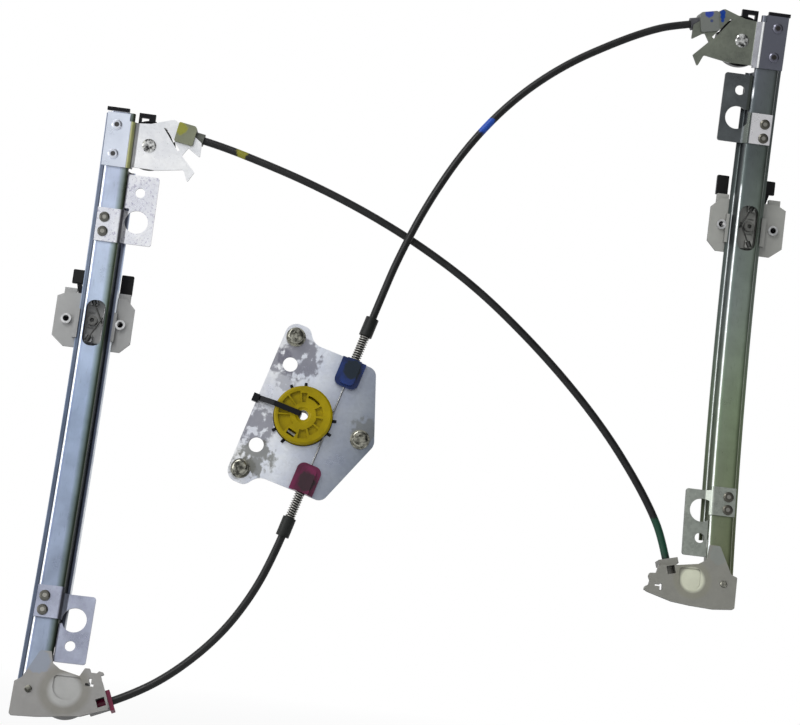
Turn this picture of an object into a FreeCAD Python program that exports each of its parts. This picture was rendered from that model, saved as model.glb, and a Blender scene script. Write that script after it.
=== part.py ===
import FreeCAD, Part
import math
import os

V = FreeCAD.Vector

# Window regulator for a sliding door glass: two curved rails, a cable loop and a drum plate.
# Row frame: origin on the drum axis at the motor plate's front face, +Z up along the rails,
# +X across to the right-hand rail, -Y towards the viewer, who stands on the inner side.
# Rail frame, used for all that sits on a rail: x from the rail's middle towards the other rail,
# y from the web's front face away from the viewer, and a station along the rail's arc.

# Rails
RAIL_RADIUS = 1400.0
RAIL_APEX_Y = 12.0
RAIL_APEX_Z = 55.0
RAIL_SPACING = 535.0
LEFT_RAIL_X = -180.5
SHEET = 1.4
WEB_HALF = 9.2
WALL_FOOT_HALF = 11.0
LIP_HALF = 15.2
CHANNEL_DEPTH = 12.0
BEND_INNER_RADIUS = 1.4
TOP_OPEN_LENGTH = 48.0
BOTTOM_OPEN_LENGTH = 54.0
WINDOW_WIDTH = 16.0
WINDOW_LENGTH = 38.5

# Cable run inside the channel
CABLE_RADIUS = 0.75
CABLE_X = 6.6
CABLE_DEPTH = 7.5

# Sheet-metal brackets
BRACKET_SHEET = 2.0
PLATE_SET_BACK = 3.0
PULLEY_PLATE_SET_BACK = 2.0
MOUNT_TAB_LEFT_X = -9.9
PULLEY_TAB_LEFT_X = -12.2
JOGGLE_START_X = 9.0
JOGGLE_END_X = 14.0
MOUNT_PLATE_LEFT_X = 10.6
FIXING_HOLE_RADIUS = 4.1
LARGE_HOLE_RADIUS = 9.7
RIVET_X = -3.6
RIVET_HEAD_RADIUS = 4.3
RIVET_HEAD_HEIGHT = 1.6
RIVET_TAIL_RADIUS = 3.4
RIVET_TAIL_HEIGHT = 1.1
RIVET_SHANK_RADIUS = 2.4

# Top pulleys
PULLEY_PITCH_RADIUS = 18.0
PULLEY_X = CABLE_X + PULLEY_PITCH_RADIUS
PULLEY_RIM_RADIUS = 19.8
PULLEY_WIDTH = 5.4
PULLEY_BORE_RADIUS = 4.05
AXLE_RADIUS = 4.0
AXLE_HEAD_RADIUS = 5.8

# Conduits
CONDUIT_RADIUS = 3.2
CONDUIT_CLEARANCE = 0.3

# Carriers
CARRIER_OFFSET_X = -2.4
CARRIER_WIDTH = 65.0
CARRIER_HEIGHT = 45.6
CARRIER_PLATE = 3.0
CARRIER_CHAMFER = 8.0
RAIL_GAP = 0.3
BUSH_HALF_SPACING = 22.5
BUSH_RADIUS = 4.2
BUSH_BORE_RADIUS = 2.5
GLASS_GAP = 6.5
JAW_THICKNESS = 4.0

# Motor plate, in its own frame: u across and v along the line of the two springs
PLATE_TURN_DEG = 15.4
PLATE_SHEET = 2.0
CABLE_LINE_U = 21.8
CABLE_LINE_Y = -3.5
SCREW_PLACES = ((-30.5, 58.5), (-30.5, -58.5), (50.0, 0.0))
LUG_REACH = 11.2
PLATE_HALF_HEIGHT = 58.8
PLATE_LEFT = -40.2
PLATE_TIP = 62.8
PLATE_CORNER_U = 40.6
PLATE_HOLE_PLACES = ((-26.2, 35.8), (-26.2, -35.8))
PLATE_HOLE_RADIUS = 6.05

# Drum
DRUM_RADIUS = 23.9
DRUM_PITCH_RADIUS = 21.5
DRUM_FRONT_Y = -10.5
DRUM_BACK_Y = 1.0
DRUM_GROOVE_FRONT_Y = -8.0
DRUM_GROOVE_BACK_Y = -1.2
HUB_RADIUS = 7.5
HUB_BORE_RADIUS = 4.05
HUB_BACK_Y = 8.0
DRUM_OPENING_RADIUS = 24.5

# Spring tensioners beside the drum
SOCKET_INNER_V = 34.5
SOCKET_OUTER_V = 58.5
SPRING_OUTER_V = 80.5
CAP_OUTER_V = SPRING_OUTER_V + 16.0
SPRING_RADIUS = 4.1
CAP_RADIUS = 5.5
SPRING_COILS = 12

SIDES = {
    "left": {
        "x": LEFT_RAIL_X, "mirrored": False,
        "above_pulley": 24.9, "below_guide": 18.0, "window": 2.4, "carrier": 5.2,
        "pulley": 156.1, "exit_turn": 9.0, "pulley_rivets": (13.5, -11.1), "guard_bottom": -17.0,
        "guide": -297.5,
        "upper": {"large": 91.0, "small": 24.9, "top": 39.4, "bottom": -19.0, "tab": (-19.9, 8.3),
                  "rivets": (0.3, -11.7), "hole_x": 22.4, "outer_x": 36.9},
        "lower": {"large": -239.6, "small": -20.6, "top": 19.8, "bottom": -34.0, "tab": (-1.1, 24.4),
                  "rivets": (15.9, 4.7), "hole_x": 21.8, "outer_x": 36.0},
    },
    "right": {
        "x": LEFT_RAIL_X + RAIL_SPACING, "mirrored": True,
        "above_pulley": 23.5, "below_guide": 17.6, "window": 152.8, "carrier": 155.2,
        "pulley": 310.5, "exit_turn": 12.0, "pulley_rivets": (13.5, -11.1), "guard_bottom": -30.0,
        "guide": -149.9,
        "upper": {"large": 245.9, "small": 23.4, "top": 37.2, "bottom": -21.1, "tab": (-21.1, 5.0),
                  "rivets": (-3.8, -15.8), "hole_x": 20.2, "outer_x": 34.4},
        "lower": {"large": -90.0, "small": -23.3, "top": 17.1, "bottom": -38.5, "tab": (-3.5, 20.5),
                  "rivets": (12.6, 1.8), "hole_x": 17.0, "outer_x": 31.0},
    },
}

# Routes of the three conduits, chosen by hand along the middle of each
UPPER_CONDUIT_ROUTE = (
    (44.3, -3.5, 78.6), (51.2, -3.5, 103.6), (62.2, -4.6, 142.0), (82.0, -6.2, 193.0),
    (108.6, -8.0, 243.8), (142.0, -10.2, 288.0), (181.5, -12.8, 323.3), (225.7, -15.0, 350.2),
    (256.0, -15.8, 365.4), (275.6, -16.6, 371.3), (296.8, -17.5, 375.7),
)
CROSS_CONDUIT_ROUTE = (
    (-123.5, 9.3, 224.6), (-103.7, 9.7, 221.5), (-72.0, 8.4, 213.4), (-22.0, 6.6, 198.6),
    (31.0, 5.6, 178.8), (81.0, 5.2, 155.2), (128.5, 5.2, 127.3), (173.0, 6.0, 93.4),
    (213.5, 7.5, 58.0), (250.0, 9.3, 20.8), (279.0, 12.0, -15.3), (299.0, 14.6, -45.0),
    (308.2, 14.6, -66.0), (314.7, 12.0, -90.3),
)
LOWER_CONDUIT_ROUTE = (
    (-2.2, -3.5, -90.2), (-7.7, -3.5, -110.0), (-20.8, -5.0, -145.5), (-42.5, -7.0, -182.0),
    (-74.0, -9.2, -214.7), (-105.4, -11.0, -236.2), (-129.3, -13.2, -246.7),
)


def rounded_wire(points, radii):
    """Closed outline through the points, each corner rounded to its own radius."""
    count = len(points)
    cuts = []
    for i, (corner, radius) in enumerate(zip(points, radii)):
        back = (points[i - 1] - corner).normalize()
        ahead = (points[(i + 1) % count] - corner).normalize()
        if radius <= 0:
            cuts.append((corner, corner, None))
            continue
        half = back.getAngle(ahead) / 2
        reach = radius / math.tan(half)
        inward = (back + ahead).normalize()
        middle = corner + inward * (radius / math.sin(half) - radius)
        cuts.append((corner + back * reach, corner + ahead * reach, middle))
    edges = []
    for i, (start, end, middle) in enumerate(cuts):
        if middle is not None:
            edges.append(Part.Arc(start, middle, end).toShape())
        following = cuts[(i + 1) % count][0]
        if (following - end).Length > 1e-6:
            edges.append(Part.LineSegment(end, following).toShape())
    return Part.Wire(edges)


def sheet_blank(outline, front, back, radii=None):
    """Flat blank of an outline in x and z, from depth front to depth back."""
    points = [V(x, front, z) for x, z in outline]
    if radii is None:
        radii = [0.0] * len(points)
    face = Part.Face(rounded_wire(points, radii))
    return face.extrude(V(0, back - front, 0))


def along_arc(section, low, high):
    """Sweeps a section in x and y along the rail's arc between two stations."""
    start = at_station(section, low)
    return start.revolve(V(0, -RAIL_RADIUS, 0), V(1, 0, 0), math.degrees((high - low) / RAIL_RADIUS))


def curved_blank(outline, front, back, radii):
    """Sheet blank that follows the rail's arc, from depth front to depth back."""
    prism = sheet_blank(outline, front - 3, back + 3, radii)
    bounds = prism.BoundBox
    corners = [V(x, y, 0) for x, y in ((bounds.XMin - 1, front), (bounds.XMax + 1, front),
                                       (bounds.XMax + 1, back), (bounds.XMin - 1, back))]
    section = Part.Face(Part.makePolygon(corners + corners[:1]))
    return prism.common(along_arc(section, bounds.ZMin - 1, bounds.ZMax + 1))


def side_of_line(points, distance):
    """Points of an open line moved sideways by a distance, with mitred corners."""
    moved = []
    for i, point in enumerate(points):
        normals = []
        for a, b in ((i - 1, i), (i, i + 1)):
            if a < 0 or b >= len(points):
                continue
            run = points[b] - points[a]
            normals.append(V(-run.y, run.x, 0).normalize())
        mean = sum(normals[1:], normals[0])
        mean.normalize()
        moved.append(point + mean * (distance / mean.dot(normals[0])))
    return moved


def bent_sheet(centre_line, thickness, inner_radius):
    """Section of a folded sheet: its centre line in x and y, thickened, with round bends."""
    points = [V(x, y, 0) for x, y in centre_line]
    near = side_of_line(points, thickness / 2)
    far = side_of_line(points, -thickness / 2)
    near_radii = [0.0]
    far_radii = [0.0]
    for before, point, after in zip(points, points[1:], points[2:]):
        left_turn = (point - before).cross(after - point).z > 0
        near_radii.append(inner_radius if left_turn else inner_radius + thickness)
        far_radii.append(inner_radius + thickness if left_turn else inner_radius)
    near_radii.append(0.0)
    far_radii.append(0.0)
    return Part.Face(rounded_wire(near + far[::-1], near_radii + far_radii[::-1]))


def box(x_range, y_range, z_range):
    """Block between two values on each axis."""
    size = [high - low for low, high in (x_range, y_range, z_range)]
    return Part.makeBox(size[0], size[1], size[2], V(x_range[0], y_range[0], z_range[0]))


def post(x, z, radius, front, back):
    """Round bar along the depth, at x and z, from depth front to depth back."""
    return Part.makeCylinder(radius, back - front, V(x, front, z), V(0, 1, 0))


def ring(x, z, outer, inner, front, back):
    """Tube along the depth."""
    return post(x, z, outer, front, back).cut(post(x, z, inner, front - 1, back + 1))


def turned(profile, x=0.0, z=0.0):
    """Body of revolution about the depth axis at x and z; the profile is radius and depth."""
    points = [V(x + radius, depth, z) for radius, depth in profile]
    face = Part.Face(Part.makePolygon(points + points[:1]))
    return face.revolve(V(x, 0, z), V(0, 1, 0), 360)


def joined(shapes):
    """One solid from several that meet."""
    first, rest = shapes[0], shapes[1:]
    return first.fuse(list(rest)).removeSplitter() if rest else first


def at_station(shape, station):
    """Moves a shape made at the rail's apex along the rail's arc to a station."""
    moved = shape.copy()
    moved.rotate(V(0, -RAIL_RADIUS, 0), V(1, 0, 0), math.degrees(station / RAIL_RADIUS))
    return moved


def on_side(shape, side):
    """Moves a shape from the rail frame to its place on the left or right rail."""
    placed = shape.mirror(V(0, 0, 0), V(1, 0, 0)) if side["mirrored"] else shape.copy()
    placed.translate(V(side["x"], RAIL_APEX_Y, RAIL_APEX_Z))
    return placed


def on_plate(shape):
    """Turns a shape from the motor plate's frame into the row frame."""
    turned_shape = shape.copy()
    turned_shape.rotate(V(0, 0, 0), V(0, 1, 0), PLATE_TURN_DEG)
    return turned_shape


def bar(start, end, radius):
    """Round bar between two points."""
    run = end - start
    return Part.makeCylinder(radius, run.Length, start, run)


def rail_section():
    """Hat section of the rail: web in front, drafted walls and two lips behind."""
    web_y = SHEET / 2
    lip_y = CHANNEL_DEPTH + SHEET / 2
    line = (
        (-LIP_HALF, lip_y), (-WALL_FOOT_HALF, lip_y), (-WEB_HALF, web_y),
        (WEB_HALF, web_y), (WALL_FOOT_HALF, lip_y), (LIP_HALF, lip_y),
    )
    return bent_sheet(line, SHEET, BEND_INNER_RADIUS)


def rail_ends(side):
    """Stations of the rail's bottom and top end."""
    return side["guide"] - side["below_guide"], side["pulley"] + side["above_pulley"]


def make_rail(side):
    """Rail swept along its arc, open beside the pulley and the guide, with the sight window."""
    low, high = rail_ends(side)
    rail = along_arc(rail_section(), low, high)
    wall_x = (WEB_HALF - SHEET, LIP_HALF + 1)
    wall_y = (SHEET + BEND_INNER_RADIUS + 0.4, CHANNEL_DEPTH + SHEET + 1)
    top_cut = box(wall_x, wall_y, (-TOP_OPEN_LENGTH, 2 * SHEET))
    bottom_cut = box(wall_x, wall_y, (-2 * SHEET, BOTTOM_OPEN_LENGTH))
    half = WINDOW_WIDTH / 2
    end = WINDOW_LENGTH / 2
    window = sheet_blank(((-half, -end), (half, -end), (half, end), (-half, end)),
                         -1, SHEET + 0.3, (half - 1,) * 4)
    cuts = [at_station(top_cut, high), at_station(bottom_cut, low), at_station(window, side["window"])]
    hole = post(RIVET_X, 0, RIVET_SHANK_RADIUS, -1, SHEET + 1)
    cuts += [at_station(hole, station) for station in rivet_stations(side) + [side["guide"]]]
    return rail.cut(cuts)


def rivet_stations(side):
    """Station of each rivet of a rail."""
    stations = [side["pulley"] + z for z in side["pulley_rivets"]]
    for name in ("upper", "lower"):
        mount = side[name]
        stations += [mount["large"] + z for z in mount["rivets"]]
    return stations


def bracket_fold(tab_range, left_x, plate_x, set_back):
    """Riveted tab on the web with the joggle that steps back to a bracket's plate."""
    front = -BRACKET_SHEET / 2
    back = set_back + BRACKET_SHEET / 2
    line = ((left_x, front), (JOGGLE_START_X, front), (JOGGLE_END_X, back), (plate_x, back))
    return along_arc(bent_sheet(line, BRACKET_SHEET, 1.0), *tab_range)


def rivet_holes(bracket, heights):
    """Bracket with its rivet holes."""
    hole = post(RIVET_X, 0, RIVET_SHANK_RADIUS, -BRACKET_SHEET - 1, 1)
    return bracket.cut([at_station(hole, height) for height in heights])


def make_mount(mount):
    """Body mount: a plate with a fixing hole and a large access hole, beside its riveted tab."""
    plate_left = MOUNT_PLATE_LEFT_X
    low, high = mount["bottom"], mount["top"]
    above_tab = mount["tab"][1] + 2.5
    outline = ((JOGGLE_END_X + 1, low), (mount["outer_x"], low), (mount["outer_x"], high),
               (plate_left, high), (plate_left, above_tab), (JOGGLE_END_X + 1, above_tab))
    if mount["small"] < 0:
        outline = ((plate_left, low), (mount["outer_x"], low), (mount["outer_x"], high),
                   (JOGGLE_END_X + 1, high), (JOGGLE_END_X + 1, mount["tab"][0] - 2.5),
                   (plate_left, mount["tab"][0] - 2.5))
    radii = (1.5, 2.2, 2.2, 1.5, 0, 1.0)
    plate = curved_blank(outline, PLATE_SET_BACK, PLATE_SET_BACK + BRACKET_SHEET, radii)
    fold = bracket_fold(mount["tab"], MOUNT_TAB_LEFT_X, JOGGLE_END_X + 4, PLATE_SET_BACK)
    beyond = [box((JOGGLE_START_X + 1.5, 40), (-10, 20), (high, high + 40)),
              box((JOGGLE_START_X + 1.5, 40), (-10, 20), (low - 40, low))]
    bracket = joined([fold.cut(beyond), plate])
    holes = [
        post(mount["hole_x"], 0, LARGE_HOLE_RADIUS, 0, 10),
        post(mount["hole_x"], mount["small"], FIXING_HOLE_RADIUS, 0, 10),
    ]
    return rivet_holes(bracket.cut(holes), mount["rivets"])


def make_rivets(side):
    """All rivets of one rail: front head, shank through tab and web, tail in the channel."""
    top = -BRACKET_SHEET - RIVET_HEAD_HEIGHT
    rivet = turned((
        (0, top), (RIVET_HEAD_RADIUS * 0.72, top), (RIVET_HEAD_RADIUS, top + RIVET_HEAD_HEIGHT / 2),
        (RIVET_HEAD_RADIUS, -BRACKET_SHEET),
        (RIVET_SHANK_RADIUS, -BRACKET_SHEET), (RIVET_SHANK_RADIUS, SHEET), (RIVET_TAIL_RADIUS, SHEET),
        (RIVET_TAIL_RADIUS, SHEET + RIVET_TAIL_HEIGHT), (0, SHEET + RIVET_TAIL_HEIGHT),
    ), RIVET_X)
    return Part.makeCompound([at_station(rivet, station) for station in rivet_stations(side)])


def exit_line(side):
    """Where the cable leaves the pulley, and its direction there, in the pulley bracket's frame."""
    turn = math.radians(side["exit_turn"])
    start = V(PULLEY_X + PULLEY_PITCH_RADIUS * math.sin(turn), CABLE_DEPTH,
              PULLEY_PITCH_RADIUS * math.cos(turn))
    return start, V(math.cos(turn), 0, -math.sin(turn))


def along_exit(shape, side, distance):
    """Moves a shape made along +x at the origin to a distance down the cable's exit line."""
    start, direction = exit_line(side)
    moved = shape.copy()
    moved.rotate(V(0, 0, 0), V(0, 1, 0), side["exit_turn"])
    moved.translate(start + direction * distance)
    return moved


END_BOX_RANGE = (18.8, 34.7)
END_BOX_HALF = 8.4
SLEEVE_RANGE = (34.7, 42.0)
SLEEVE_RADIUS = 5.2
HOOK_LEGS = ((13.0, 15.4), (21.5, 26.8))
HOOK_BAR_LOW = 23.3
HOOK_TOP = 27.0
HOOK_DEPTH = 3.6


def make_pulley_bracket(side):
    """Pulley bracket: riveted tab, joggle, and a plate with its two hooked prongs and tie slot."""
    front = PULLEY_PLATE_SET_BACK
    outline = (
        (JOGGLE_END_X - 1, 17.6), (24.0, 18.6), (43.0, 24.8), (58.0, 15.0), (67.7, 8.0), (67.7, -4.4),
        (57.2, 2.4), (52.6, -4.7), (64.7, -17.3), (59.7, -26.5), (55.3, -16.3), (33.0, -19.8),
        (JOGGLE_END_X - 1, -19.5),
    )
    radii = (0, 0, 4, 0, 2, 0.8, 0.8, 0.8, 0.8, 0.8, 2, 20, 0)
    plate = curved_blank(outline, front, front + BRACKET_SHEET, radii)
    tab_range = (-21.4, 23.7)
    fold = bracket_fold(tab_range, PULLEY_TAB_LEFT_X, JOGGLE_END_X + 2, front)
    trim = box((JOGGLE_START_X - 2.5, 40), (-10, 20), (17.6, 40)).fuse(
        box((JOGGLE_END_X - 1, 40), (-10, 20), (-40, -19.5)))
    bracket = joined([fold.cut(trim), plate])
    slot = sheet_blank(((34.9, 16.6), (48.6, -1.4), (50.4, -0.2), (36.7, 16.8)), 0, 10)
    axle_hole = post(PULLEY_X, 0, AXLE_RADIUS, 0, 10)
    low, high = END_BOX_RANGE
    conduit_room = bar(V(high - 1, 0, 0), V(high + 40, 0, 0), SLEEVE_RADIUS + RAIL_GAP)
    room = [along_exit(shape, side, 0) for shape in (end_box_block(), conduit_room)]
    bracket = bracket.cut([slot, axle_hole] + room)
    return rivet_holes(bracket, side["pulley_rivets"])


def end_box_block():
    """Outer block of a conduit end box, along +x."""
    low, high = END_BOX_RANGE
    points = ((low, -END_BOX_HALF), (high, -END_BOX_HALF), (high, END_BOX_HALF), (low, END_BOX_HALF))
    return sheet_blank(points, -END_BOX_HALF, END_BOX_HALF - 2.0, (1.5, 1.5, 3.0, 1.5))


def make_end_box(side):
    """Plastic box that holds the conduit's end against the bracket, bored for conduit and cable."""
    low, high = END_BOX_RANGE
    block = end_box_block()
    cable_bore = bar(V(low - 1, 0, 0), V(high + 1, 0, 0), 1.5)
    conduit_bore = bar(V(low + 8, 0, 0), V(high + 1, 0, 0), CONDUIT_RADIUS + CONDUIT_CLEARANCE)
    return along_exit(block.cut([cable_bore, conduit_bore]), side, 0)


def make_sleeve(side):
    """Sleeve on the conduit beside its end box."""
    low, high = SLEEVE_RANGE
    tube = bar(V(low, 0, 0), V(high, 0, 0), SLEEVE_RADIUS)
    bore = bar(V(low - 1, 0, 0), V(high + 1, 0, 0), CONDUIT_RADIUS + CONDUIT_CLEARANCE)
    return along_exit(tube.cut(bore), side, 0)


def make_axle():
    """Pulley axle: crimped star head in front of the plate, journal and retaining head behind."""
    plate_front = PULLEY_PLATE_SET_BACK
    pulley_back = CABLE_DEPTH + PULLEY_WIDTH / 2 + RAIL_GAP
    axle = turned((
        (0, plate_front - 1.4), (AXLE_HEAD_RADIUS * 0.8, plate_front - 1.4),
        (AXLE_HEAD_RADIUS, plate_front - 0.7), (AXLE_HEAD_RADIUS, plate_front), (AXLE_RADIUS, plate_front),
        (AXLE_RADIUS, pulley_back), (AXLE_HEAD_RADIUS, pulley_back), (AXLE_HEAD_RADIUS, pulley_back + 1.2),
        (0, pulley_back + 1.2),
    ), PULLEY_X)
    grooves = []
    for i in range(5):
        groove = box((2.0, AXLE_HEAD_RADIUS + 1), (plate_front - 2, plate_front - 0.8), (-0.6, 0.6))
        groove.rotate(V(0, 0, 0), V(0, 1, 0), 72 * i + 18)
        groove.translate(V(PULLEY_X, 0, 0))
        grooves.append(groove)
    return axle.cut(grooves)


def make_pulley():
    """Grooved pulley with its cable in the middle of its width, lightened by six round pockets."""
    front = CABLE_DEPTH - PULLEY_WIDTH / 2
    back = CABLE_DEPTH + PULLEY_WIDTH / 2
    floor = PULLEY_PITCH_RADIUS - CABLE_RADIUS - RAIL_GAP
    wheel = turned((
        (PULLEY_BORE_RADIUS, front), (PULLEY_RIM_RADIUS, front), (PULLEY_RIM_RADIUS, front + 0.9),
        (floor, CABLE_DEPTH - 1.1), (floor, CABLE_DEPTH + 1.1),
        (PULLEY_RIM_RADIUS, back - 0.9), (PULLEY_RIM_RADIUS, back), (PULLEY_BORE_RADIUS, back),
    ), PULLEY_X)
    pockets = []
    for i in range(6):
        angle = math.radians(60 * i)
        pockets.append(post(PULLEY_X + 11.5 * math.cos(angle), 11.5 * math.sin(angle), 4.0,
                            CABLE_DEPTH + 0.6, back + 1))
    return wheel.cut(pockets)


def make_guard(side):
    """Black cover behind the pulley: a rim round its outer half, a back plate and the top hook."""
    back = CABLE_DEPTH + PULLEY_WIDTH / 2 + 2 * RAIL_GAP
    front = PULLEY_PLATE_SET_BACK + BRACKET_SHEET
    outer = PULLEY_RIM_RADIUS + 1.6
    inner = PULLEY_RIM_RADIUS + 0.5
    rim = ring(PULLEY_X, 0, outer, inner, front, back + 1.4)
    disc = ring(PULLEY_X, 0, outer, AXLE_HEAD_RADIUS + 0.4, back, back + 1.4)
    cover = rim.fuse(disc)
    away = box((PULLEY_X - 40, WEB_HALF + SHEET + 1.2), (-5, 30), (-40, 40))
    low, high = END_BOX_RANGE
    half = END_BOX_HALF + RAIL_GAP
    leave = along_exit(box((0, high), (-half, half), (-half, half)), side, 0)
    below = box((-10, 80), (-5, 30), (-60, side["guard_bottom"]))
    cover = cover.cut([away, leave, below])
    leg_low = PULLEY_RIM_RADIUS - 3
    parts = [box((HOOK_LEGS[0][0], HOOK_LEGS[1][1]), (front, front + HOOK_DEPTH), (HOOK_BAR_LOW, HOOK_TOP))]
    parts += [box(leg, (front, front + HOOK_DEPTH), (leg_low, HOOK_TOP)) for leg in HOOK_LEGS]
    hook = joined(parts)
    return cover.fuse(hook.cut(post(PULLEY_X, 0, inner, front - 8, back))).removeSplitter()


def make_rail_top_pad():
    """Black pad folded over the rail's top end above the bracket tab."""
    return box((-13.2, 5.4), (-BRACKET_SHEET, SHEET), (0.3, 3.2))


GUIDE_FRONT = -2.6
GUIDE_SKIN = 3.4
GUIDE_BACK = 13.4
GUIDE_SOCKET_RADIUS = 4.6
GROOVE_HALF = 1.5
GROOVE_WALL = 1.6
EXIT_BORE_RADIUS = 1.2
POCKET_DEPTH = 1.0
BARREL_HALF = 5.6
SIGHT_HOLE_HALF = 3.4
CONDUIT_STOP = 2.0
GUIDES = {
    "left": {
        "radius": 17.5, "centre_z": 2.2, "exit": 24.0, "socket": (19.4, 29.4), "flange": (3.3, 8.1),
        "pocket": (14.4, 36.0, -5.4, 13.0),
        "slot_bar": (39.0, 45.5, 7.2, 9.4), "slot_stem": (41.4, 43.4, 8.4, 13.6),
        "outline": ((-15.1, -21.2), (5.4, -20.2), (39.3, -16.3), (49.1, -12.5), (59.6, -9.0), (56.0, 6.2),
                    (54.4, 7.1), (50.9, 13.8), (52.6, 18.8), (48.0, 19.6), (46.6, 17.9), (42.1, 17.8),
                    (40.9, 20.8), (36.9, 20.8), (33.7, 14.2), (17.9, 17.7), (11.6, 22.0), (9.2, 30.8),
                    (0.5, 30.8), (-10.0, 8.5), (-15.3, 5.0)),
        "radii": (2, 0, 0, 0, 0.5, 0.5, 0.5, 0, 1.6, 1, 0.5, 0.5, 1, 1.2, 1, 1, 2, 0.5, 2, 3, 1),
    },
    "right": {
        "radius": 15.7, "centre_z": 0.5, "exit": 75.0, "socket": (6.8, 15.4), "flange": (5.0, 8.0),
        "pocket": (15.8, 33.3, -9.4, 9.7),
        "slot_bar": (46.8, 48.9, -10.8, -5.4), "slot_stem": (48.0, 53.0, -7.9, -6.3),
        "outline": ((-13.8, -19.8), (3.6, -21.5), (22.9, -20.6), (38.4, -19.0), (58.5, -13.4), (61.7, -11.7),
                    (61.1, -9.3), (58.1, -7.4), (57.3, -3.8), (58.6, -0.4), (57.7, 2.2), (52.3, 2.7),
                    (50.5, 9.7), (33.6, 11.5), (17.9, 14.2), (10.2, 19.0), (9.2, 31.0), (0.5, 31.0),
                    (-9.8, 8.5), (-15.0, 6.5)),
        "radii": (2, 0, 0, 0, 0, 0.8, 0.8, 1, 1, 0.8, 0.8, 1, 0.5, 0, 1, 2, 0.5, 2, 3, 1),
    },
}


def guide_exit(guide):
    """Where the cable leaves the guide's curve, and its direction there."""
    turn = math.radians(guide["exit"])
    radius = guide["radius"]
    start = V(CABLE_X + radius + radius * math.sin(turn), CABLE_DEPTH,
              guide["centre_z"] - radius * math.cos(turn))
    return start, V(math.cos(turn), 0, math.sin(turn))


def along_guide_exit(shape, guide):
    """Moves a shape made along +x at the origin to the guide's exit line."""
    start, _ = guide_exit(guide)
    moved = shape.copy()
    moved.rotate(V(0, 0, 0), V(0, 1, 0), -guide["exit"])
    moved.translate(V(start.x, 0, start.z))
    return moved


def guide_body(guide):
    """Thin front skin with the deeper parts behind it: groove bed, throat, rail seat and socket."""
    radius, centre_z = guide["radius"], guide["centre_z"]
    skin_back = GUIDE_FRONT + GUIDE_SKIN
    skin = sheet_blank(guide["outline"], GUIDE_FRONT, skin_back, guide["radii"])
    wall = GROOVE_HALF + GROOVE_WALL
    bed = post(CABLE_X + radius, centre_z, radius + wall, GUIDE_FRONT + 1, GUIDE_BACK)
    bed = bed.cut(box((-20, 80), (-10, 30), (centre_z + 9.5, 60)))
    throat = box((CABLE_X - wall, CABLE_X + wall), (PLATE_SET_BACK + BRACKET_SHEET + RAIL_GAP, GUIDE_BACK),
                 (centre_z, THROAT_TOP))
    seat = box((-WEB_HALF + 0.7, CABLE_X + wall), (SHEET + RIVET_TAIL_HEIGHT, GUIDE_BACK), (-17.0, 6.5))
    low, high = guide["socket"]
    barrel = box((low - 6, high), (GUIDE_FRONT + 1, GUIDE_BACK), (-BARREL_HALF, BARREL_HALF))
    flange_room = box((high, high + 20), (GUIDE_FRONT - 1, GUIDE_BACK + 1), (-guide["flange"][1] - 1, 20))
    body = joined([skin, bed, throat, seat, along_guide_exit(barrel, guide)])
    return body.cut(along_guide_exit(flange_room, guide))


THROAT_TOP = 30.0


def make_guide(name, side, rail):
    """Bottom guide: moulding round the rail's end with a curved cable groove, D pocket and socket."""
    guide = GUIDES[name]
    radius, centre_z = guide["radius"], guide["centre_z"]
    centre_x = CABLE_X + radius
    groove = ring(centre_x, centre_z, radius + GROOVE_HALF, radius - GROOVE_HALF,
                  CABLE_DEPTH - GROOVE_HALF, GUIDE_BACK + 1)
    groove = groove.cut(box((0, 60), (-10, 20), (centre_z, 40)))
    entry = box((CABLE_X - GROOVE_HALF, CABLE_X + GROOVE_HALF), (CABLE_DEPTH - GROOVE_HALF, GUIDE_BACK + 1),
                (centre_z, 60))
    start, direction = guide_exit(guide)
    low, high = guide["socket"]
    exit_bore = bar(start - direction * 2, start + direction * (high + 10), EXIT_BORE_RADIUS)
    socket_bore = bar(start + direction * low, start + direction * (high + 12), GUIDE_SOCKET_RADIUS)
    left, right, bottom, top = guide["pocket"]
    round_end = (right - left) / 2 - 0.2
    pocket = sheet_blank(((left, bottom), (right, bottom), (right, top), (left, top)),
                         GUIDE_FRONT - 1, GUIDE_FRONT + POCKET_DEPTH, (round_end, round_end, 2.5, 2.5))
    slots = [box((x_low, x_high), (-20, 20), (z_low, z_high))
             for x_low, x_high, z_low, z_high in (guide["slot_bar"], guide["slot_stem"])]
    middle = (low + high) / 2 - 0.4
    half = SIGHT_HOLE_HALF
    sight_hole = box((middle - half, middle + half), (GUIDE_FRONT - 1, CABLE_DEPTH), (-half, half))
    pin_hole = post(RIVET_X, 0, RIVET_SHANK_RADIUS, -20, 20)
    cuts = [groove, entry, exit_bore, socket_bore, pocket, along_guide_exit(sight_hole, guide), pin_hole]
    body = guide_body(guide).cut(cuts + slots)
    seated = at_station(body, side["guide"]).cut(rail)
    solids = sorted(seated.Solids, key=lambda solid: solid.Volume)
    return solids[-1]


PIN_HEAD_RADIUS = 2.8


def make_guide_pin():
    """Pin that fixes the bottom guide through the rail's web."""
    front = GUIDE_FRONT
    return turned((
        (0, front - 1.4), (2.0, front - 1.4), (PIN_HEAD_RADIUS, front - 0.8), (PIN_HEAD_RADIUS, front),
        (RIVET_SHANK_RADIUS, front), (RIVET_SHANK_RADIUS, GUIDE_BACK), (PIN_HEAD_RADIUS, GUIDE_BACK),
        (PIN_HEAD_RADIUS, GUIDE_BACK + 0.8), (0, GUIDE_BACK + 0.8),
    ), RIVET_X)


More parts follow.
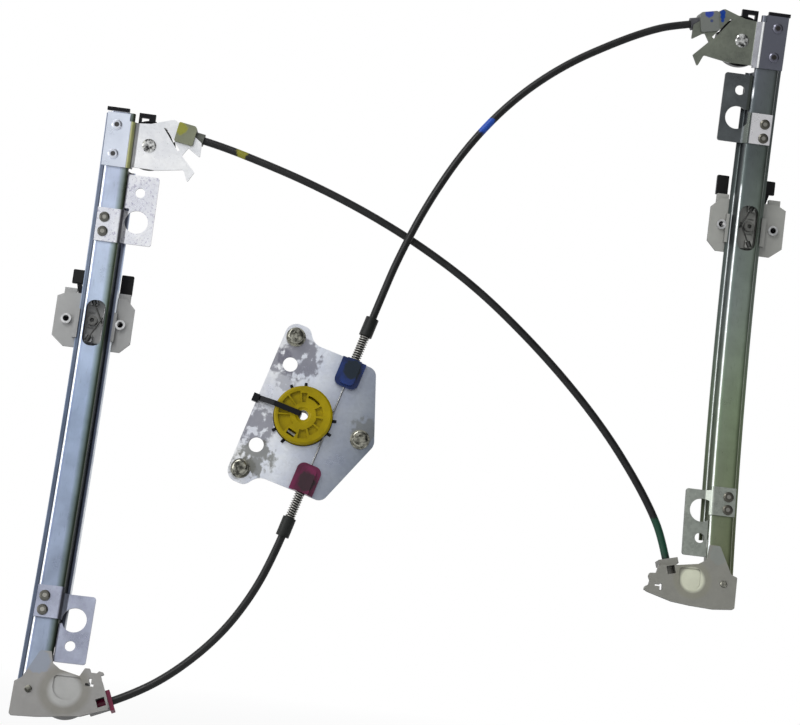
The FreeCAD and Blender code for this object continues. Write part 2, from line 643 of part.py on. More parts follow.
def make_guide_ferrule(name):
    """End piece of the conduit in the guide: a nose in the socket and a square flange outside."""
    guide = GUIDES[name]
    low, high = guide["socket"]
    start, direction = guide_exit(guide)
    nose = bar(start + direction * low, start + direction * (high + 1), GUIDE_SOCKET_RADIUS - 0.1)
    thickness, half = guide["flange"]
    flange = along_guide_exit(box((high, high + thickness), (0.0, GUIDE_BACK), (-half, half)), guide)
    end = start + direction * (high + thickness + 1)
    bore = bar(start + direction * (low + CONDUIT_STOP), end, CONDUIT_RADIUS + CONDUIT_CLEARANCE)
    return nose.fuse(flange).cut([bore, bar(start, end, 1.5)])


def rail_cable(side, guide):
    """Inner cable of one rail: end box, over the pulley, down the channel, round the guide, out."""
    exit_start, exit_direction = exit_line(side)
    top = exit_start + exit_direction * (END_BOX_RANGE[0] + 7)
    turn = math.radians(side["exit_turn"])
    middle_angle = (math.pi + (math.pi / 2 - turn)) / 2
    pulley_middle = V(PULLEY_X + PULLEY_PITCH_RADIUS * math.cos(middle_angle), CABLE_DEPTH,
                      PULLEY_PITCH_RADIUS * math.sin(middle_angle))
    pulley_side = V(CABLE_X, CABLE_DEPTH, 0)
    upper = [Part.LineSegment(top, exit_start).toShape(),
             Part.Arc(exit_start, pulley_middle, pulley_side).toShape()]
    start, direction = guide_exit(guide)
    low, high = guide["socket"]
    bottom = start + direction * (low + CONDUIT_STOP)
    guide_turn = math.radians(guide["exit"])
    middle_angle = math.pi + (math.pi / 2 + guide_turn) / 2
    radius = guide["radius"]
    guide_middle = V(CABLE_X + radius + radius * math.cos(middle_angle), CABLE_DEPTH,
                     guide["centre_z"] + radius * math.sin(middle_angle))
    guide_side = V(CABLE_X, CABLE_DEPTH, guide["centre_z"])
    lower = [Part.Arc(guide_side, guide_middle, start).toShape(),
             Part.LineSegment(start, bottom).toShape()]
    upper_edges = [at_station(edge, side["pulley"]) for edge in upper]
    lower_edges = [at_station(edge, side["guide"]) for edge in lower]
    upper_point = upper_edges[1].Vertexes[-1].Point
    lower_point = lower_edges[0].Vertexes[0].Point
    centre = V(CABLE_X, -RAIL_RADIUS, 0)
    arc_radius = ((upper_point - centre).Length + (lower_point - centre).Length) / 2
    half_way = ((upper_point - centre).normalize() + (lower_point - centre).normalize()).normalize()
    run = Part.Arc(upper_point, centre + half_way * arc_radius, lower_point).toShape()
    wire = Part.Wire(upper_edges + [run] + lower_edges)
    first = upper_edges[0].Vertexes[0].Point
    ahead = (upper_edges[0].Vertexes[1].Point - first).normalize()
    section = Part.Wire(Part.makeCircle(CABLE_RADIUS, first, ahead))
    return wire.makePipeShell([section], True, False)


BOSS_FRONT = 4.0
BOSS_RADIUS = 4.2
BACK_WALL_FRONT = 9.2
BACK_WALL_HALF = 8.2
HOOK_RANGE = (-15.0, 9.5)
HOOK_WIDTHS = ((-1, 2.4), (1, 1.2))
JAW_POST_TOP = 27.0
NIPPLE_RADIUS = 2.0
NIPPLE_LENGTH = 5.0
TAIL_RADIUS = 0.6
CABLE_ENDS = (
    {"nipple": V(-2.8, 5.2, 15.6), "crossing": V(4.8, 5.2, 0.6), "end": V(6.0, 5.2, -2.0)},
    {"nipple": V(-3.5, 5.2, -15.2), "crossing": V(4.8, 3.6, 0.2), "end": V(6.0, 3.6, 2.8)},
)


def make_carrier():
    """Glass carrier: plate behind the lips, hooks round them, cable seat in the channel, jaw posts."""
    plate_front = CHANNEL_DEPTH + SHEET + RAIL_GAP
    plate_back = plate_front + CARRIER_PLATE
    half_w = CARRIER_WIDTH / 2
    half_h = CARRIER_HEIGHT / 2
    chamfer = CARRIER_CHAMFER
    outline = (
        (-half_w, -half_h + chamfer), (-half_w + chamfer + 2, -half_h), (half_w - chamfer, -half_h),
        (half_w, -half_h + chamfer), (half_w, half_h - chamfer), (half_w - chamfer, half_h),
        (-half_w + chamfer, half_h), (-half_w, half_h - chamfer / 2),
    )
    parts = [sheet_blank([(x + CARRIER_OFFSET_X, z) for x, z in outline], plate_front, plate_back)]
    hook_front = CHANNEL_DEPTH - RAIL_GAP - 1.8
    inner_x = WALL_FOOT_HALF + SHEET / 2 + 2.4
    edge_x = LIP_HALF + RAIL_GAP
    for sign, width in HOOK_WIDTHS:
        wall = box((edge_x, edge_x + width), (hook_front, plate_front + 1), HOOK_RANGE)
        lip = box((inner_x, edge_x + width), (hook_front, CHANNEL_DEPTH - RAIL_GAP), HOOK_RANGE)
        hook = wall.fuse(lip)
        parts.append(hook if sign > 0 else hook.mirror(V(0, 0, 0), V(1, 0, 0)))
    seat_half = half_h - 4.4
    seat_x = (-BACK_WALL_HALF, BACK_WALL_HALF)
    parts.append(box(seat_x, (BACK_WALL_FRONT, plate_front + 1), (-seat_half, seat_half)))
    parts.append(post(CARRIER_OFFSET_X, 0, BOSS_RADIUS, BOSS_FRONT, plate_front))
    for end in CABLE_ENDS:
        x, depth, z = end["nipple"]
        reach = NIPPLE_RADIUS + 1
        parts.append(box((x - reach, x + reach), (depth, BACK_WALL_FRONT + 1), (z - reach, z + reach)))
    for x in bush_places():
        parts.append(box((x - 5.0, x + 5.0), (plate_back - 1, plate_back + JAW_THICKNESS),
                         (-half_h + 6, JAW_POST_TOP)))
    carrier = joined(parts)
    boss_hole = post(CARRIER_OFFSET_X, 0, 1.8, BOSS_FRONT - 1, BACK_WALL_FRONT)
    grooves = [box((-6.5, -1.0), (BACK_WALL_FRONT - 1, BACK_WALL_FRONT + 1.2), (z - 0.5, z + 0.5))
               for z in (6.6, -6.2)]
    sockets = [post(x, 0, BUSH_RADIUS, 0, 60) for x in bush_places()]
    return carrier.cut([boss_hole] + grooves + sockets + make_nipples().Solids)


def bush_places():
    """Where the two bushes stand across the carrier."""
    return [CARRIER_OFFSET_X + sign * BUSH_HALF_SPACING for sign in (-1, 1)]


def make_nipples():
    """The two cable ends of a carrier: a nipple in its seat and a tail that crosses to the channel's side."""
    ends = []
    for end in CABLE_ENDS:
        nipple, crossing, last = end["nipple"], end["crossing"], end["end"]
        ahead = (crossing - nipple).normalize() * (NIPPLE_LENGTH / 2)
        lump = bar(nipple - ahead, nipple + ahead, NIPPLE_RADIUS)
        knuckle = Part.makeSphere(TAIL_RADIUS, crossing)
        tail = [bar(nipple, crossing, TAIL_RADIUS), knuckle, bar(crossing, last, TAIL_RADIUS)]
        ends.append(joined([lump] + tail))
    return Part.makeCompound(ends)


def make_bushes():
    """Two threaded metal bushes, flanged at the front, pressed through the carrier."""
    plate_front = CHANNEL_DEPTH + SHEET + RAIL_GAP
    back = plate_front + CARRIER_PLATE + JAW_THICKNESS
    return Part.makeCompound([ring(x, 0, BUSH_RADIUS, BUSH_BORE_RADIUS, plate_front - 3.0, back)
                              for x in bush_places()])


JAW_BOTTOM = -19.0
JAW_PLATE = 3.0
EAR_TOP = 45.3
EARS = {"left": (-26.8, -15.5, 33.4), "right": (14.0, 24.3, 28.4)}
PAD_THICKNESS = 0.9


def make_clamp():
    """Black rear jaw of the glass clamp: foot on the carrier, jaw plate and two raised ears."""
    front = CHANNEL_DEPTH + SHEET + RAIL_GAP + CARRIER_PLATE
    jaw_front = front + JAW_THICKNESS + GLASS_GAP
    foot = box((-17.5, 13.0), (front, jaw_front + JAW_PLATE), (JAW_BOTTOM, JAW_BOTTOM + 2.8))
    left_low, left_high, left_z = EARS["left"]
    right_low, right_high, right_z = EARS["right"]
    outline = (
        (-20.0, JAW_BOTTOM), (15.0, JAW_BOTTOM), (21.0, -10.0), (21.0, 20.0), (19.6, 23.0), (19.6, right_z),
        (right_high, right_z), (right_high, EAR_TOP), (right_low, EAR_TOP), (right_low, 22.0), (-14.5, 22.0),
        (-18.5, left_z), (left_high, left_z), (left_high, EAR_TOP), (left_low, EAR_TOP), (left_low, left_z),
        (-22.5, left_z), (-19.5, 22.0), (-26.0, 20.0), (-31.0, 14.0), (-31.0, -9.0),
    )
    radii = (2, 2, 0, 0, 0, 0.5, 0.5, 1, 1, 2, 2, 0.5, 0.5, 1, 1, 0.5, 0.5, 1, 0, 0, 0)
    return joined([foot, sheet_blank(outline, jaw_front, jaw_front + JAW_PLATE, radii)])


def make_pads():
    """Rubber pads of the clamp: one on each front post and one in front of each ear."""
    front = CHANNEL_DEPTH + SHEET + RAIL_GAP + CARRIER_PLATE + JAW_THICKNESS
    jaw_front = front + GLASS_GAP
    depths = (front, front + PAD_THICKNESS)
    pads = [box((x - 4.6, x + 4.6), depths, (8.0, JAW_POST_TOP - 1)) for x in bush_places()]
    depths = (jaw_front - PAD_THICKNESS, jaw_front)
    for low, high, bottom in EARS.values():
        pads.append(box((low + 0.5, high - 0.5), depths, (bottom + 0.6, EAR_TOP - 0.6)))
    return Part.makeCompound(pads)


CLAW_ANGLES = (13.0, 107.0, 133.0, 227.0, 253.0, 347.0)
CLAW_RADIUS = 25.6


def make_motor_plate():
    """Motor plate: lugs round the screws, pointed on one side, notched for the cable sockets."""
    lug_u, lug_v = SCREW_PLACES[0]
    top = PLATE_HALF_HEIGHT
    crown = lug_v + LUG_REACH
    upper = [(PLATE_LEFT, crown), (lug_u + 8.0, crown), (lug_u + 16.0, top), (PLATE_CORNER_U, top)]
    lower = [(u, -v) for u, v in reversed(upper)]
    radii = [9.4, 7, 12, 8]
    plate = sheet_blank(upper + [(PLATE_TIP, 0)] + lower, 0, PLATE_SHEET, radii + [9] + radii[::-1])
    cuts = [post(0, 0, DRUM_OPENING_RADIUS, -1, 5)]
    cuts += [post(u, v, PLATE_HOLE_RADIUS, -1, 5) for u, v in PLATE_HOLE_PLACES]
    cuts += [post(u, v, SCREW_HOLE_RADIUS, -1, 5) for u, v in SCREW_PLACES]
    for sign in (-1, 1):
        inner, outer = sorted((sign * (SOCKET_INNER_V + 2.5), sign * (top + 2)))
        cuts.append(box((CABLE_LINE_U - 7.5, CABLE_LINE_U + 7.5), (-1, 5), (inner, outer)))
    for angle in CLAW_ANGLES:
        notch = box((CLAW_RADIUS - 3, CLAW_RADIUS + 1.3), (-1, 5), (-1.3, 1.3))
        notch.rotate(V(0, 0, 0), V(0, 1, 0), -angle)
        cuts.append(notch)
    return plate.cut(cuts)


SCREW_SHANK_RADIUS = 3.0
SCREW_SHOULDER_RADIUS = 3.2
SCREW_HOLE_RADIUS = 3.3
SCREW_LENGTH = 14.0
WASHER_RADIUS = 8.0


def make_screws():
    """Three captive six-lobe screws: head and collar in front, shank out at the back."""
    screws = []
    for u, v in SCREW_PLACES:
        front = -1.6
        screw = turned((
            (0, front - 9.6), (4.6, front - 9.6), (5.4, front - 8.8), (5.4, front - 5.4), (6.3, front - 5.0),
            (6.3, front), (SCREW_SHOULDER_RADIUS, front), (SCREW_SHOULDER_RADIUS, PLATE_SHEET),
            (SCREW_SHANK_RADIUS, PLATE_SHEET), (SCREW_SHANK_RADIUS, PLATE_SHEET + SCREW_LENGTH - 1),
            (SCREW_SHANK_RADIUS - 0.8, PLATE_SHEET + SCREW_LENGTH), (0, PLATE_SHEET + SCREW_LENGTH),
        ), u, v)
        screws.append(screw.cut(six_lobe(u, v, front - 9.6, 3.2)))
    return Part.makeCompound(screws)


def six_lobe(u, v, front, depth):
    """Six-lobe driver recess."""
    lobes = [post(u, v, 2.3, front - 1, front + depth)]
    for i in range(6):
        angle = math.radians(60 * i)
        lobes.append(post(u + 2.2 * math.cos(angle), v + 2.2 * math.sin(angle), 0.8, front - 1, front + depth))
    return joined(lobes)


def make_washers():
    """Flange washers under the screw collars."""
    return Part.makeCompound([ring(u, v, WASHER_RADIUS, SCREW_HOLE_RADIUS, -1.6, 0) for u, v in SCREW_PLACES])


def make_retainer():
    """Black drum holder behind the plate: rim, three arms, hub bearing and six claws to the front."""
    rim = ring(0, 0, 29.0, DRUM_RADIUS - 2.0, PLATE_SHEET, PLATE_SHEET + 1.6)
    floor_front = PLATE_SHEET + 0.4
    hub = ring(0, 0, 11.0, HUB_RADIUS + 0.05, floor_front, HUB_BACK_Y - 1.0)
    parts = [rim, hub]
    for angle in (60.0, 180.0, 300.0):
        arm = box((9.5, DRUM_RADIUS - 1.5), (floor_front, floor_front + 1.6), (-3.0, 3.0))
        arm.rotate(V(0, 0, 0), V(0, 1, 0), -angle)
        parts.append(arm)
    for angle in CLAW_ANGLES:
        stem = box((CLAW_RADIUS - 0.8, CLAW_RADIUS + 1.0), (-1.8, PLATE_SHEET + 0.5), (-1.1, 1.1))
        head = box((CLAW_RADIUS - 0.8, CLAW_RADIUS + 2.0), (-1.8, -0.1), (-1.1, 1.1))
        claw = stem.fuse(head)
        claw.rotate(V(0, 0, 0), V(0, 1, 0), -angle)
        parts.append(claw)
    return joined(parts)


POCKET_FLOOR = 2.4
DEEP_FLOOR = 6.5
POCKETS = (
    (18.0, 48.0, 10.4, 16.2), (101.0, 116.0, 10.4, 18.0), (119.5, 146.0, 10.0, 20.0),
    (150.0, 171.0, 10.0, 20.0), (174.0, 196.5, 12.0, 20.4), (200.0, 242.0, 10.5, 20.6),
    (278.0, 302.0, 12.0, 19.2), (309.0, 337.0, 11.2, 17.4), (343.0, 370.0, 11.0, 16.4),
)
DRUM_SLOT = (54.0, 96.0, 14.2, 16.2)
NIPPLE_WINDOW_ANGLE = 258.5
NIPPLE_WINDOW = (15.0, 19.8, 3.7)


def sector(inner, outer, start_deg, end_deg, front, back):
    """Ring sector between two angles at most half a turn apart, from depth front to depth back."""
    reach = outer + 1
    past_start = box((-reach, reach), (front - 1, back + 1), (0, reach))
    past_start.rotate(V(0, 0, 0), V(0, 1, 0), -start_deg)
    before_end = box((-reach, reach), (front - 1, back + 1), (-reach, 0))
    before_end.rotate(V(0, 0, 0), V(0, 1, 0), -end_deg)
    return ring(0, 0, outer, inner, front, back).common(past_start).common(before_end)


def make_drum():
    """Cable drum: two flanges and a wide groove, shallow pockets in its face, a slot and the hub."""
    drum = turned((
        (HUB_BORE_RADIUS, DRUM_FRONT_Y + 1.2), (HUB_BORE_RADIUS + 1.2, DRUM_FRONT_Y + 1.2),
        (HUB_BORE_RADIUS + 2.4, DRUM_FRONT_Y + 0.4), (DRUM_RADIUS - 1.6, DRUM_FRONT_Y),
        (DRUM_RADIUS, DRUM_FRONT_Y + 1.2), (DRUM_RADIUS, DRUM_GROOVE_FRONT_Y),
        (DRUM_PITCH_RADIUS - CABLE_RADIUS, DRUM_GROOVE_FRONT_Y),
        (DRUM_PITCH_RADIUS - CABLE_RADIUS, DRUM_GROOVE_BACK_Y),
        (DRUM_RADIUS, DRUM_GROOVE_BACK_Y), (DRUM_RADIUS, DRUM_BACK_Y), (HUB_RADIUS, DRUM_BACK_Y),
        (HUB_RADIUS, HUB_BACK_Y), (HUB_BORE_RADIUS, HUB_BACK_Y),
    ))
    front = DRUM_FRONT_Y - 1
    cuts = [sector(inner, outer, start, end, front, DRUM_FRONT_Y + POCKET_FLOOR)
            for start, end, inner, outer in POCKETS]
    start, end, inner, outer = DRUM_SLOT
    cuts.append(sector(inner, outer, start, end, front, DRUM_FRONT_Y + DEEP_FLOOR))
    low, high, half = NIPPLE_WINDOW
    window = box((low, high), (front, DRUM_FRONT_Y + DEEP_FLOOR), (-half, half))
    window.rotate(V(0, 0, 0), V(0, 1, 0), -NIPPLE_WINDOW_ANGLE)
    return drum.cut(cuts + [window])


def make_drum_turns():
    """Two turns of cable lying in the drum's groove."""
    turns = []
    for y in (-7.1, -5.4):
        turns.append(Part.makeTorus(DRUM_PITCH_RADIUS, CABLE_RADIUS, V(0, y, 0), V(0, 1, 0)))
    return Part.makeCompound(turns)


def make_drum_nipple():
    """Cable end in the drum's square window."""
    low, high, half = NIPPLE_WINDOW
    middle = (low + high) / 2
    depth = DRUM_FRONT_Y + 3.4
    nipple = bar(V(middle, depth, -half), V(middle, depth, half), 2.0)
    nipple.rotate(V(0, 0, 0), V(0, 1, 0), -NIPPLE_WINDOW_ANGLE)
    return nipple


def make_cable_socket(sign):
    """Cable socket in the plate's edge notch: front cover, core in the notch and back cover."""
    low_u, high_u = CABLE_LINE_U - 10.2, CABLE_LINE_U + 10.2
    inner, outer = SOCKET_INNER_V, SOCKET_OUTER_V
    outline = ((low_u, inner), (high_u, inner), (high_u, outer), (low_u, outer))
    front = sheet_blank(outline, -5.4, 0, (6, 6, 0.5, 0.5))
    ridge_outline = ((low_u + 4, inner + 2), (high_u - 4, inner + 2), (high_u - 4, outer), (low_u + 4, outer))
    ridge = sheet_blank(ridge_outline, -9.2, -5.4, (4, 4, 0.5, 0.5))
    core = box((CABLE_LINE_U - 7.4, CABLE_LINE_U + 7.4), (0, PLATE_SHEET), (inner + 2.6, outer))
    back = sheet_blank(outline, PLATE_SHEET, PLATE_SHEET + 2.2, (6, 6, 0.5, 0.5))
    socket = joined([front, ridge, core, back])
    line = (V(CABLE_LINE_U, CABLE_LINE_Y, inner - 5), V(CABLE_LINE_U, CABLE_LINE_Y, outer + 5))
    nose_bore = bar(V(CABLE_LINE_U, CABLE_LINE_Y, inner + 6), line[1], 3.2)
    socket = socket.cut([bar(line[0], line[1], 1.3), nose_bore])
    return socket if sign > 0 else socket.mirror(V(0, 0, 0), V(0, 0, 1))


def make_spring(sign):
    """Pressure spring round the cap's nose, its coils as ridges on one sleeve."""
    low, high = SOCKET_OUTER_V, SPRING_OUTER_V
    pitch = (high - low) / SPRING_COILS
    inner = SPRING_RADIUS - 0.9
    profile = [V(inner, 0, low)]
    for i in range(SPRING_COILS):
        base = low + i * pitch
        profile += [V(inner + 0.3, 0, base), V(SPRING_RADIUS, 0, base + 0.3 * pitch),
                    V(SPRING_RADIUS, 0, base + 0.7 * pitch)]
    profile += [V(inner + 0.3, 0, high), V(inner, 0, high)]
    face = Part.Face(Part.makePolygon(profile + profile[:1]))
    spring = face.revolve(V(0, 0, 0), V(0, 0, 1), 360)
    spring.translate(V(CABLE_LINE_U, CABLE_LINE_Y, 0))
    return spring if sign > 0 else spring.mirror(V(0, 0, 0), V(0, 0, 1))


def make_spring_cap(sign):
    """Spring cap: sleeve on the conduit's end with a nose through the spring into the socket."""
    axis = (CABLE_LINE_U, CABLE_LINE_Y)
    start = V(*axis, SPRING_OUTER_V)
    body = bar(start, V(*axis, CAP_OUTER_V), CAP_RADIUS)
    nose = bar(V(*axis, SOCKET_INNER_V + 12), V(*axis, SPRING_OUTER_V + 1), 2.8)
    cable_bore = bar(V(*axis, 0), V(*axis, CAP_OUTER_V), 1.5)
    bore_radius = CONDUIT_RADIUS + CONDUIT_CLEARANCE
    conduit_bore = bar(V(*axis, CAP_OUTER_V - 9.5), V(*axis, CAP_OUTER_V + 1), bore_radius)
    cap = body.fuse(nose).cut([cable_bore, conduit_bore])
    return cap if sign > 0 else cap.mirror(V(0, 0, 0), V(0, 0, 1))


def make_drum_cable(sign):
    """Inner cable from the drum's tangent point to the conduit's end."""
    line = (CABLE_LINE_U, CABLE_LINE_Y)
    cable = bar(V(*line, 5), V(*line, CAP_OUTER_V - 9.0), CABLE_RADIUS)
    return cable if sign > 0 else cable.mirror(V(0, 0, 0), V(0, 0, 1))


TIE_WIDTH = 4.4
TIE_THICKNESS = 1.1


def make_cable_tie():
    """Cable tie that holds the drum for transport: head on the plate's edge, strap into the bore."""
    head = box((-43.8, -38.6), (-6.0, -0.1), (-4.0, 2.6))
    face_y = DRUM_FRONT_Y - 0.5
    line = ((-39.6, -3.6), (-25.4, face_y - 0.55), (-2.35, face_y - 0.55), (-2.35, HUB_BACK_Y + 1.2),
            (-43.0, HUB_BACK_Y + 1.2), (-43.0, -2.0))
    strap = bent_sheet(line, TIE_THICKNESS, 0.6)
    strap.translate(V(0, 0, -TIE_WIDTH / 2))
    strap = strap.extrude(V(0, 0, TIE_WIDTH))
    return joined([head, strap])


def cord_tube(route, radius, name):
    """Round tube along a route: straight runs joined by tangent arcs as large as the runs allow."""
    points = [V(*point) for point in route]
    edges = []
    start = points[0]
    radii = []
    for before, corner, after in zip(points, points[1:], points[2:]):
        back, ahead = before - corner, after - corner
        shorter = min(back.Length, ahead.Length)
        turn = math.pi - back.getAngle(ahead)
        reach = 0.45 * shorter
        bend = reach / math.tan(turn / 2)
        radii.append(bend)
        back.normalize()
        ahead.normalize()
        inward = (back + ahead).normalize()
        middle = corner + inward * (bend / math.cos(turn / 2) - bend)
        edges.append(Part.LineSegment(start, corner + back * reach).toShape())
        edges.append(Part.Arc(corner + back * reach, middle, corner + ahead * reach).toShape())
        start = corner + ahead * reach
    edges.append(Part.LineSegment(start, points[-1]).toShape())
    path = Part.Wire(edges)
    section = Part.Wire(Part.makeCircle(radius, points[0], points[1] - points[0]))
    tube = path.makePipeShell([section], True, False)
    expected = math.pi * radius ** 2 * path.Length
    print(name, "length", round(path.Length, 1), "volume ratio", round(tube.Volume / expected, 4),
          "bend radii", [round(bend) for bend in radii])
    return tube


def write(name, shape):
    """Writes one node and reports a shape that isn't sound."""
    if not shape.isValid() or not shape.Solids:
        print("UNSOUND", name)
    shape.exportStep(os.path.join("parts", name + ".step"))
    print(name, len(shape.Solids), round(shape.Volume))


def write_rail_side(name):
    """Everything that belongs to one rail."""
    side = SIDES[name]
    rail = make_rail(side)
    at_pulley = side["pulley"]
    write(name + "_rail", on_side(rail, side))
    write(name + "_rail_pad", on_side(at_station(make_rail_top_pad(), rail_ends(side)[1]), side))
    write(name + "_rivets", on_side(make_rivets(side), side))
    for level in ("upper", "lower"):
        mount = side[level]
        write(name + "_" + level + "_mount", on_side(at_station(make_mount(mount), mount["large"]), side))
    end_box = make_end_box(side)
    write(name + "_pulley_bracket", on_side(at_station(make_pulley_bracket(side), at_pulley), side))
    write(name + "_pulley_axle", on_side(at_station(make_axle(), at_pulley), side))
    write(name + "_pulley", on_side(at_station(make_pulley(), at_pulley), side))
    write(name + "_pulley_guard", on_side(at_station(make_guard(side), at_pulley), side))
    write(name + "_conduit_end", on_side(at_station(end_box, at_pulley), side))
    write(name + "_conduit_sleeve", on_side(at_station(make_sleeve(side), at_pulley), side))
    write(name + "_bottom_guide", on_side(make_guide(name, side, rail), side))
    write(name + "_guide_pin", on_side(at_station(make_guide_pin(), side["guide"]), side))
    write(name + "_guide_ferrule", on_side(at_station(make_guide_ferrule(name), side["guide"]), side))
    write(name + "_rail_cable", on_side(rail_cable(side, GUIDES[name]), side))
    for piece, maker in (("carrier", make_carrier), ("nipples", make_nipples), ("bushes", make_bushes),
                         ("glass_clamp", make_clamp), ("clamp_pads", make_pads)):
        write(name + "_" + piece, on_side(at_station(maker(), side["carrier"]), side))


def write_motor_side():
    """The motor plate with the drum and the two spring tensioners."""
    for name, maker in (
        ("motor_plate", make_motor_plate), ("motor_screws", make_screws), ("screw_washers", make_washers),
        ("drum_retainer", make_retainer), ("cable_drum", make_drum), ("drum_cable_turns", make_drum_turns),
        ("drum_nipple", make_drum_nipple), ("cable_tie", make_cable_tie),
    ):
        write(name, on_plate(maker()))
    for level, sign in (("upper", 1), ("lower", -1)):
        write(level + "_cable_socket", on_plate(make_cable_socket(sign)))
        write(level + "_spring", on_plate(make_spring(sign)))
        write(level + "_spring_cap", on_plate(make_spring_cap(sign)))
        write(level + "_drum_cable", on_plate(make_drum_cable(sign)))


def write_conduits():
    """The three conduits between plate, pulleys and guides."""
    for name, route in (("upper_conduit", UPPER_CONDUIT_ROUTE), ("cross_conduit", CROSS_CONDUIT_ROUTE),
                        ("lower_conduit", LOWER_CONDUIT_ROUTE)):
        write(name, cord_tube(route, CONDUIT_RADIUS, name))


os.makedirs("parts", exist_ok=True)
for side_name in SIDES:
    write_rail_side(side_name)
write_motor_side()
write_conduits()
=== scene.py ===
import math

import bmesh
import bpy
import numpy as np
from mathutils import Matrix, Vector


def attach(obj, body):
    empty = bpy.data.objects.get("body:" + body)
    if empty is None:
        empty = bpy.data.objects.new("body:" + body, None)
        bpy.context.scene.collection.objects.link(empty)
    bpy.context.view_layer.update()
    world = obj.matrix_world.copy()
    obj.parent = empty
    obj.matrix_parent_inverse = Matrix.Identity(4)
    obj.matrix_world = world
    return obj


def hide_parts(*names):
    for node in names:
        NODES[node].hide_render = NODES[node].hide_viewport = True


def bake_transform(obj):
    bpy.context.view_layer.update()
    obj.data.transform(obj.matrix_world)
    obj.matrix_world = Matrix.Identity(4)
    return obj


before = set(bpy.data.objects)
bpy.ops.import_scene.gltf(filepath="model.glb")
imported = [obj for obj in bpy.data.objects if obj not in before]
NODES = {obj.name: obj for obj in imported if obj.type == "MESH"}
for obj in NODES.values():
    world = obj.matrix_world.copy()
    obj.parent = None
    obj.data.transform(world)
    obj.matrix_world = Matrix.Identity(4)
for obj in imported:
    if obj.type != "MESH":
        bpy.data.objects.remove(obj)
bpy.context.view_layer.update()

# Places are in metres, in the part's own frame: +X across the door, +Y away from the viewer, +Z up.
# Rail sections, conduit routes and places on the plate or on a rail are in millimetres, times MM.
MM = 0.001
RAIL_RADIUS = 1.4
RAIL_APEX = np.array([0.0, 0.012, 0.055])
# For each rail: its place on X, its mirroring, and the stations along its arc of its ends, of its
# sight window and of the parts on it
SIDES = {
    "left": {"x": -0.1805, "mirror": 1.0, "rail": (-0.3155, 0.181), "window": 0.0024,
             "pulley": 0.1561, "guide": -0.2975, "carrier": 0.0052,
             "upper": 0.091, "lower": -0.2396},
    "right": {"x": 0.3545, "mirror": -1.0, "rail": (-0.1675, 0.334), "window": 0.1528,
              "pulley": 0.3105, "guide": -0.1499, "carrier": 0.1552,
              "upper": 0.2459, "lower": -0.09},
}
PLATE_TURN = math.radians(15.4)
CONDUIT_DIAMETER = 0.0064


def rail_place(side, station, points):
    """Rail frame to row frame: turned about the rail's arc centre by station over radius, then moved
    to the rail's place, with x mirrored on the right-hand rail."""
    points = np.asarray(points, float)
    angle = station / RAIL_RADIUS
    y = points[..., 1] + RAIL_RADIUS
    z = points[..., 2]
    out = np.empty_like(points)
    out[..., 0] = side["x"] + side["mirror"] * points[..., 0]
    out[..., 1] = y * math.cos(angle) - z * math.sin(angle) - RAIL_RADIUS + RAIL_APEX[1]
    out[..., 2] = y * math.sin(angle) + z * math.cos(angle) + RAIL_APEX[2]
    return out


def plate_place(points):
    """Motor plate's frame (u, y, v) to row frame: a turn about the drum's axis."""
    points = np.asarray(points, float)
    cos, sin = math.cos(PLATE_TURN), math.sin(PLATE_TURN)
    out = np.empty_like(points)
    out[..., 0] = points[..., 0] * cos + points[..., 2] * sin
    out[..., 1] = points[..., 1]
    out[..., 2] = -points[..., 0] * sin + points[..., 2] * cos
    return out


# Camera

CAMERA_TARGET = Vector((0.0736, 0.0, 0.0544))
CAMERA_DISTANCE = 1.36
CAMERA_AZIMUTH = math.radians(-2.92)
CAMERA_ELEVATION = math.radians(-9.61)
CAMERA_ROLL = math.radians(6.70)
SENSOR_WIDTH = 36.0
LENS = 74.25
CLIP_START = 0.05


def make_camera():
    """Camera where the photograph was taken: target, distance, two angles and a roll."""
    level = math.cos(CAMERA_ELEVATION)
    back = Vector((math.sin(CAMERA_AZIMUTH) * level, -math.cos(CAMERA_AZIMUTH) * level,
                   math.sin(CAMERA_ELEVATION)))
    right = (-back).cross(Vector((0, 0, 1))).normalized()
    up = right.cross(-back)
    cos, sin = math.cos(CAMERA_ROLL), math.sin(CAMERA_ROLL)
    rotation = Matrix((cos * right + sin * up, cos * up - sin * right, back)).transposed().to_4x4()
    data = bpy.data.cameras.new("camera")
    data.sensor_width = SENSOR_WIDTH
    data.lens = LENS
    data.clip_start = CLIP_START
    camera = bpy.data.objects.new("camera", data)
    camera.matrix_world = Matrix.Translation(CAMERA_TARGET + back * CAMERA_DISTANCE) @ rotation
    bpy.context.scene.collection.objects.link(camera)
    bpy.context.scene.camera = camera


# Materials

UP = (0, 0, 1)
WHITE = (1.0, 1.0, 1.0)
RANGE_SOCKETS = ("From Min", "From Max", "To Min", "To Max")
# Noise that moves the edge of a mark in and out, and the share of the radius that it leaves whole
WOBBLE_SCALE = 260.0
NOISE_MIDDLE = 0.5
MARK_CORE = 0.8
# Y of the normal where the painted shade on cut edges and side walls starts and where it is whole
EDGE_NORMALS = (0.6, 0.25)
BUMP_DISTANCE = 0.0002
# Painted shade on cut edges and side walls: colour and strength on metal, and the share of its own
# colour that plastic keeps there
METAL_EDGE_SHADE = ((0.03, 0.03, 0.035), 0.85)
PLASTIC_EDGE_SHADE = 0.25


def scaled(colour, factor):
    """Colour times a number."""
    return tuple(c * factor for c in colour)


